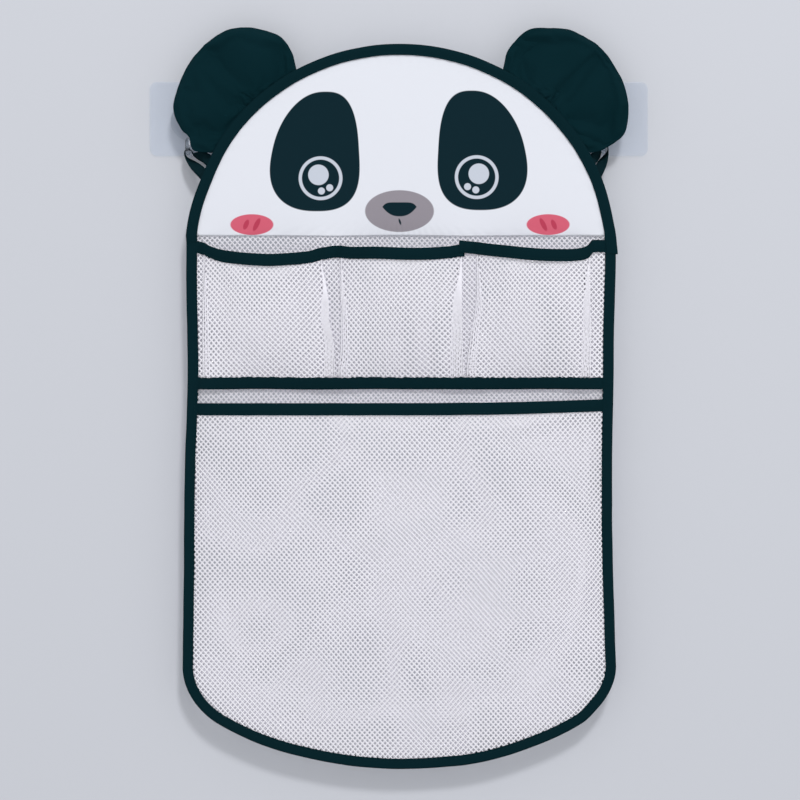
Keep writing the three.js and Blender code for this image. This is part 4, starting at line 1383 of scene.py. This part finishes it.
def loopSlack(side):  # the ribbon stays on the hook arm and goes slack when the bag lifts
    hookX, hookZ = hook["at"][side]
    arm = Vector((side * hookX, -loop["depth"], hookZ))
    x, depth, z = (Vector(loop["inner"]) + Vector(loop["outer"])) / 2
    along = Vector((side * x, -depth, z)) - arm
    first, last = bends["slack"]
    return {"start": (arm + along * first) * mm, "end": (arm + along * last) * mm}


rides = {
    "wall_hooks": ((leftPad, "left_hook_pad"), (rightPad, "right_hook_pad"), (leftHook, "left_hook"),
                   (rightHook, "right_hook")),
    "head": ((facePanel, "face_panel"), (headLining, "head_back_panel")),
    "upper_bag": ((upperPocketNet, "upper_pocket_net"), (upperRimTape, "upper_pocket_rim_tape"),
                  (footStrip, "upper_pocket_base_tape"), (leftDivider, "left_divider_seam"),
                  (rightDivider, "right_divider_seam")),
    "lower_bag": ((lowerPocketNet, "lower_pocket_net"), (lowerRimTape, "lower_pocket_rim_tape")),
}
for body, pieces in rides.items():
    for piece, node in pieces:
        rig.replaces(piece, node)
        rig.ride(piece, body)
for piece, node in ((upperBackNet, "upper_back_net"), (headTape, "head_binding"),
                    (leftTape, "left_side_binding"), (rightTape, "right_side_binding"),
                    (lowerBackNet, "lower_back_net"), (lowerTape, "lower_binding"),
                    (leftLoop, "left_hanging_loop"), (rightLoop, "right_hanging_loop")):
    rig.replaces(piece, node)
for piece in (upperBackNet, headTape, leftTape, rightTape, headStitches, leftStitches, rightStitches):
    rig.blend(piece, "head", "upper_bag", **foldAt("upper_fold"))
for piece in (lowerBackNet, lowerTape, lowerStitches):
    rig.blend(piece, "upper_bag", "lower_bag", **foldAt("lower_fold"))
for piece, side in ((leftLoop, -1), (rightLoop, 1)):
    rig.blend(piece, "wall_hooks", "head", **loopSlack(side))
for stitches, body in ((upperRimStitches, "upper_bag"), (footStitches, "upper_bag"),
                       (lowerRimStitches, "lower_bag")):
    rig.ride(stitches, body)
for piece, word in ((leftEar, "left"), (rightEar, "right")):
    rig.replaces(piece, f"{word}_ear_front", f"{word}_ear_back", f"{word}_ear_filling")
    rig.blend(piece, "head", f"{word}_ear", **earBend(word))
board = frame["nodes"]["head_board"]
board.data.materials.clear()
board.data.materials.append(boardLook)
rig.slot(board, "stiff_board")

# cut sizes in metres
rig.sheet(facePanel, flat=(0.338, 0.153), held="stretched", area=0.0424, rests_on=["head_board"],
         with_pieces=[headTape, headStitches])
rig.sheet(headLining, flat=(0.338, 0.152), held="stretched", area=0.0418, rests_on=["head_board"],
         with_pieces=[leftLoop, rightLoop])
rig.sheet(upperBackNet, flat=(0.336, 0.119), held="hung", rests_on=["facePanel"],
         with_pieces=[leftTape, leftStitches, rightTape, rightStitches])
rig.sheet(upperPocketNet, flat=(0.389, 0.108), held="gathered", rests_on=["upperBackNet"],
         with_pieces=[upperRimTape, upperRimStitches, footStrip, footStitches, leftDivider, rightDivider])
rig.sheet(lowerBackNet, flat=(0.340, 0.307), held="hung", area=0.0955, rests_on=["upperBackNet"],
         with_pieces=[lowerTape, lowerStitches])
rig.sheet(lowerPocketNet, flat=(0.340, 0.290), held="hung", area=0.0905, rests_on=["lowerBackNet"],
         with_pieces=[lowerRimTape, lowerRimStitches])

# stage, light and camera, in metres
stage = {"wall": srgb(209, 211, 218), "wallBehind": 0.0008, "floorHeight": -0.64, "reach": 3.0,
         "sky": (0.97, 0.985, 1, 1), "ambient": 0.72,
         "key": 48, "keyAt": (0.62, -2.6, 2.2), "keyAim": (0, 0, -0.2), "keySize": 0.55}


def makeStage():
    look = bpy.data.materials.new("paleStage")
    look.use_nodes = True
    tree = look.node_tree
    tree.nodes.clear()
    w = Wire(tree)
    path = w.node("ShaderNodeLightPath", {}, {})
    seen = path.output("Is Camera Ray").either(path.output("Is Glossy Ray"))
    seen = seen.either(path.output("Is Transmission Ray"))
    front = 1 - w.node("ShaderNodeNewGeometry", {}, {}, "Backfacing")
    matt = w.node("ShaderNodeBsdfDiffuse", {}, {"Color": stage["wall"]})
    clear = w.node("ShaderNodeBsdfTransparent", {}, {})
    shown = w.node("ShaderNodeMixShader", {}, {0: seen * front, 1: clear, 2: matt})
    output = tree.nodes.new("ShaderNodeOutputMaterial")
    tree.links.new(shown.socket, output.inputs["Surface"])
    for name, turn, at in (("wall", math.pi / 2, (0, stage["wallBehind"], 0)),
                           ("floor", 0, (0, -stage["reach"], stage["floorHeight"]))):
        bm = bmesh.new()
        bmesh.ops.create_grid(bm, x_segments=1, y_segments=1, size=stage["reach"])
        rotate(bm, turn)
        move(bm, at)
        plane = addObject(name, asMesh(bm, name))
        plane.data.materials.append(look)
        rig.stage(plane)


def makeWorld():
    world = bpy.data.worlds.new("softRoom")
    bpy.context.scene.world = world
    world.use_nodes = True
    background = world.node_tree.nodes["Background"]
    background.inputs["Color"].default_value = stage["sky"]
    background.inputs["Strength"].default_value = stage["ambient"]


def makeLight():
    lamp = bpy.data.lights.new("softBox", "AREA")
    lamp.shape, lamp.size, lamp.energy = "DISK", stage["keySize"], stage["key"]
    light = addObject("softBox", lamp)
    light.location = stage["keyAt"]
    aim = Vector(stage["keyAim"]) - light.location
    light.rotation_euler = aim.to_track_quat("-Z", "Y").to_euler()


camera = {"at": (0, -1.42, -0.2244), "lens": 78.75, "sensor": 36}


def makeCamera():
    data = bpy.data.cameras.new("photoView")
    data.lens, data.sensor_width = camera["lens"], camera["sensor"]
    viewer = addObject("photoView", data)
    viewer.location = camera["at"]
    viewer.rotation_euler = (math.pi / 2, 0, 0)
    bpy.context.scene.camera = viewer


makeStage()
makeWorld()
makeLight()
makeCamera()
bpy.context.scene.view_settings.view_transform = "Standard"
print("stage ready")

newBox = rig.bounds()
with open("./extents.json", "w") as sizes:
    json.dump({"cad": [list(v) for v in cadBox], "visual": [list(v) for v in newBox]}, sizes)
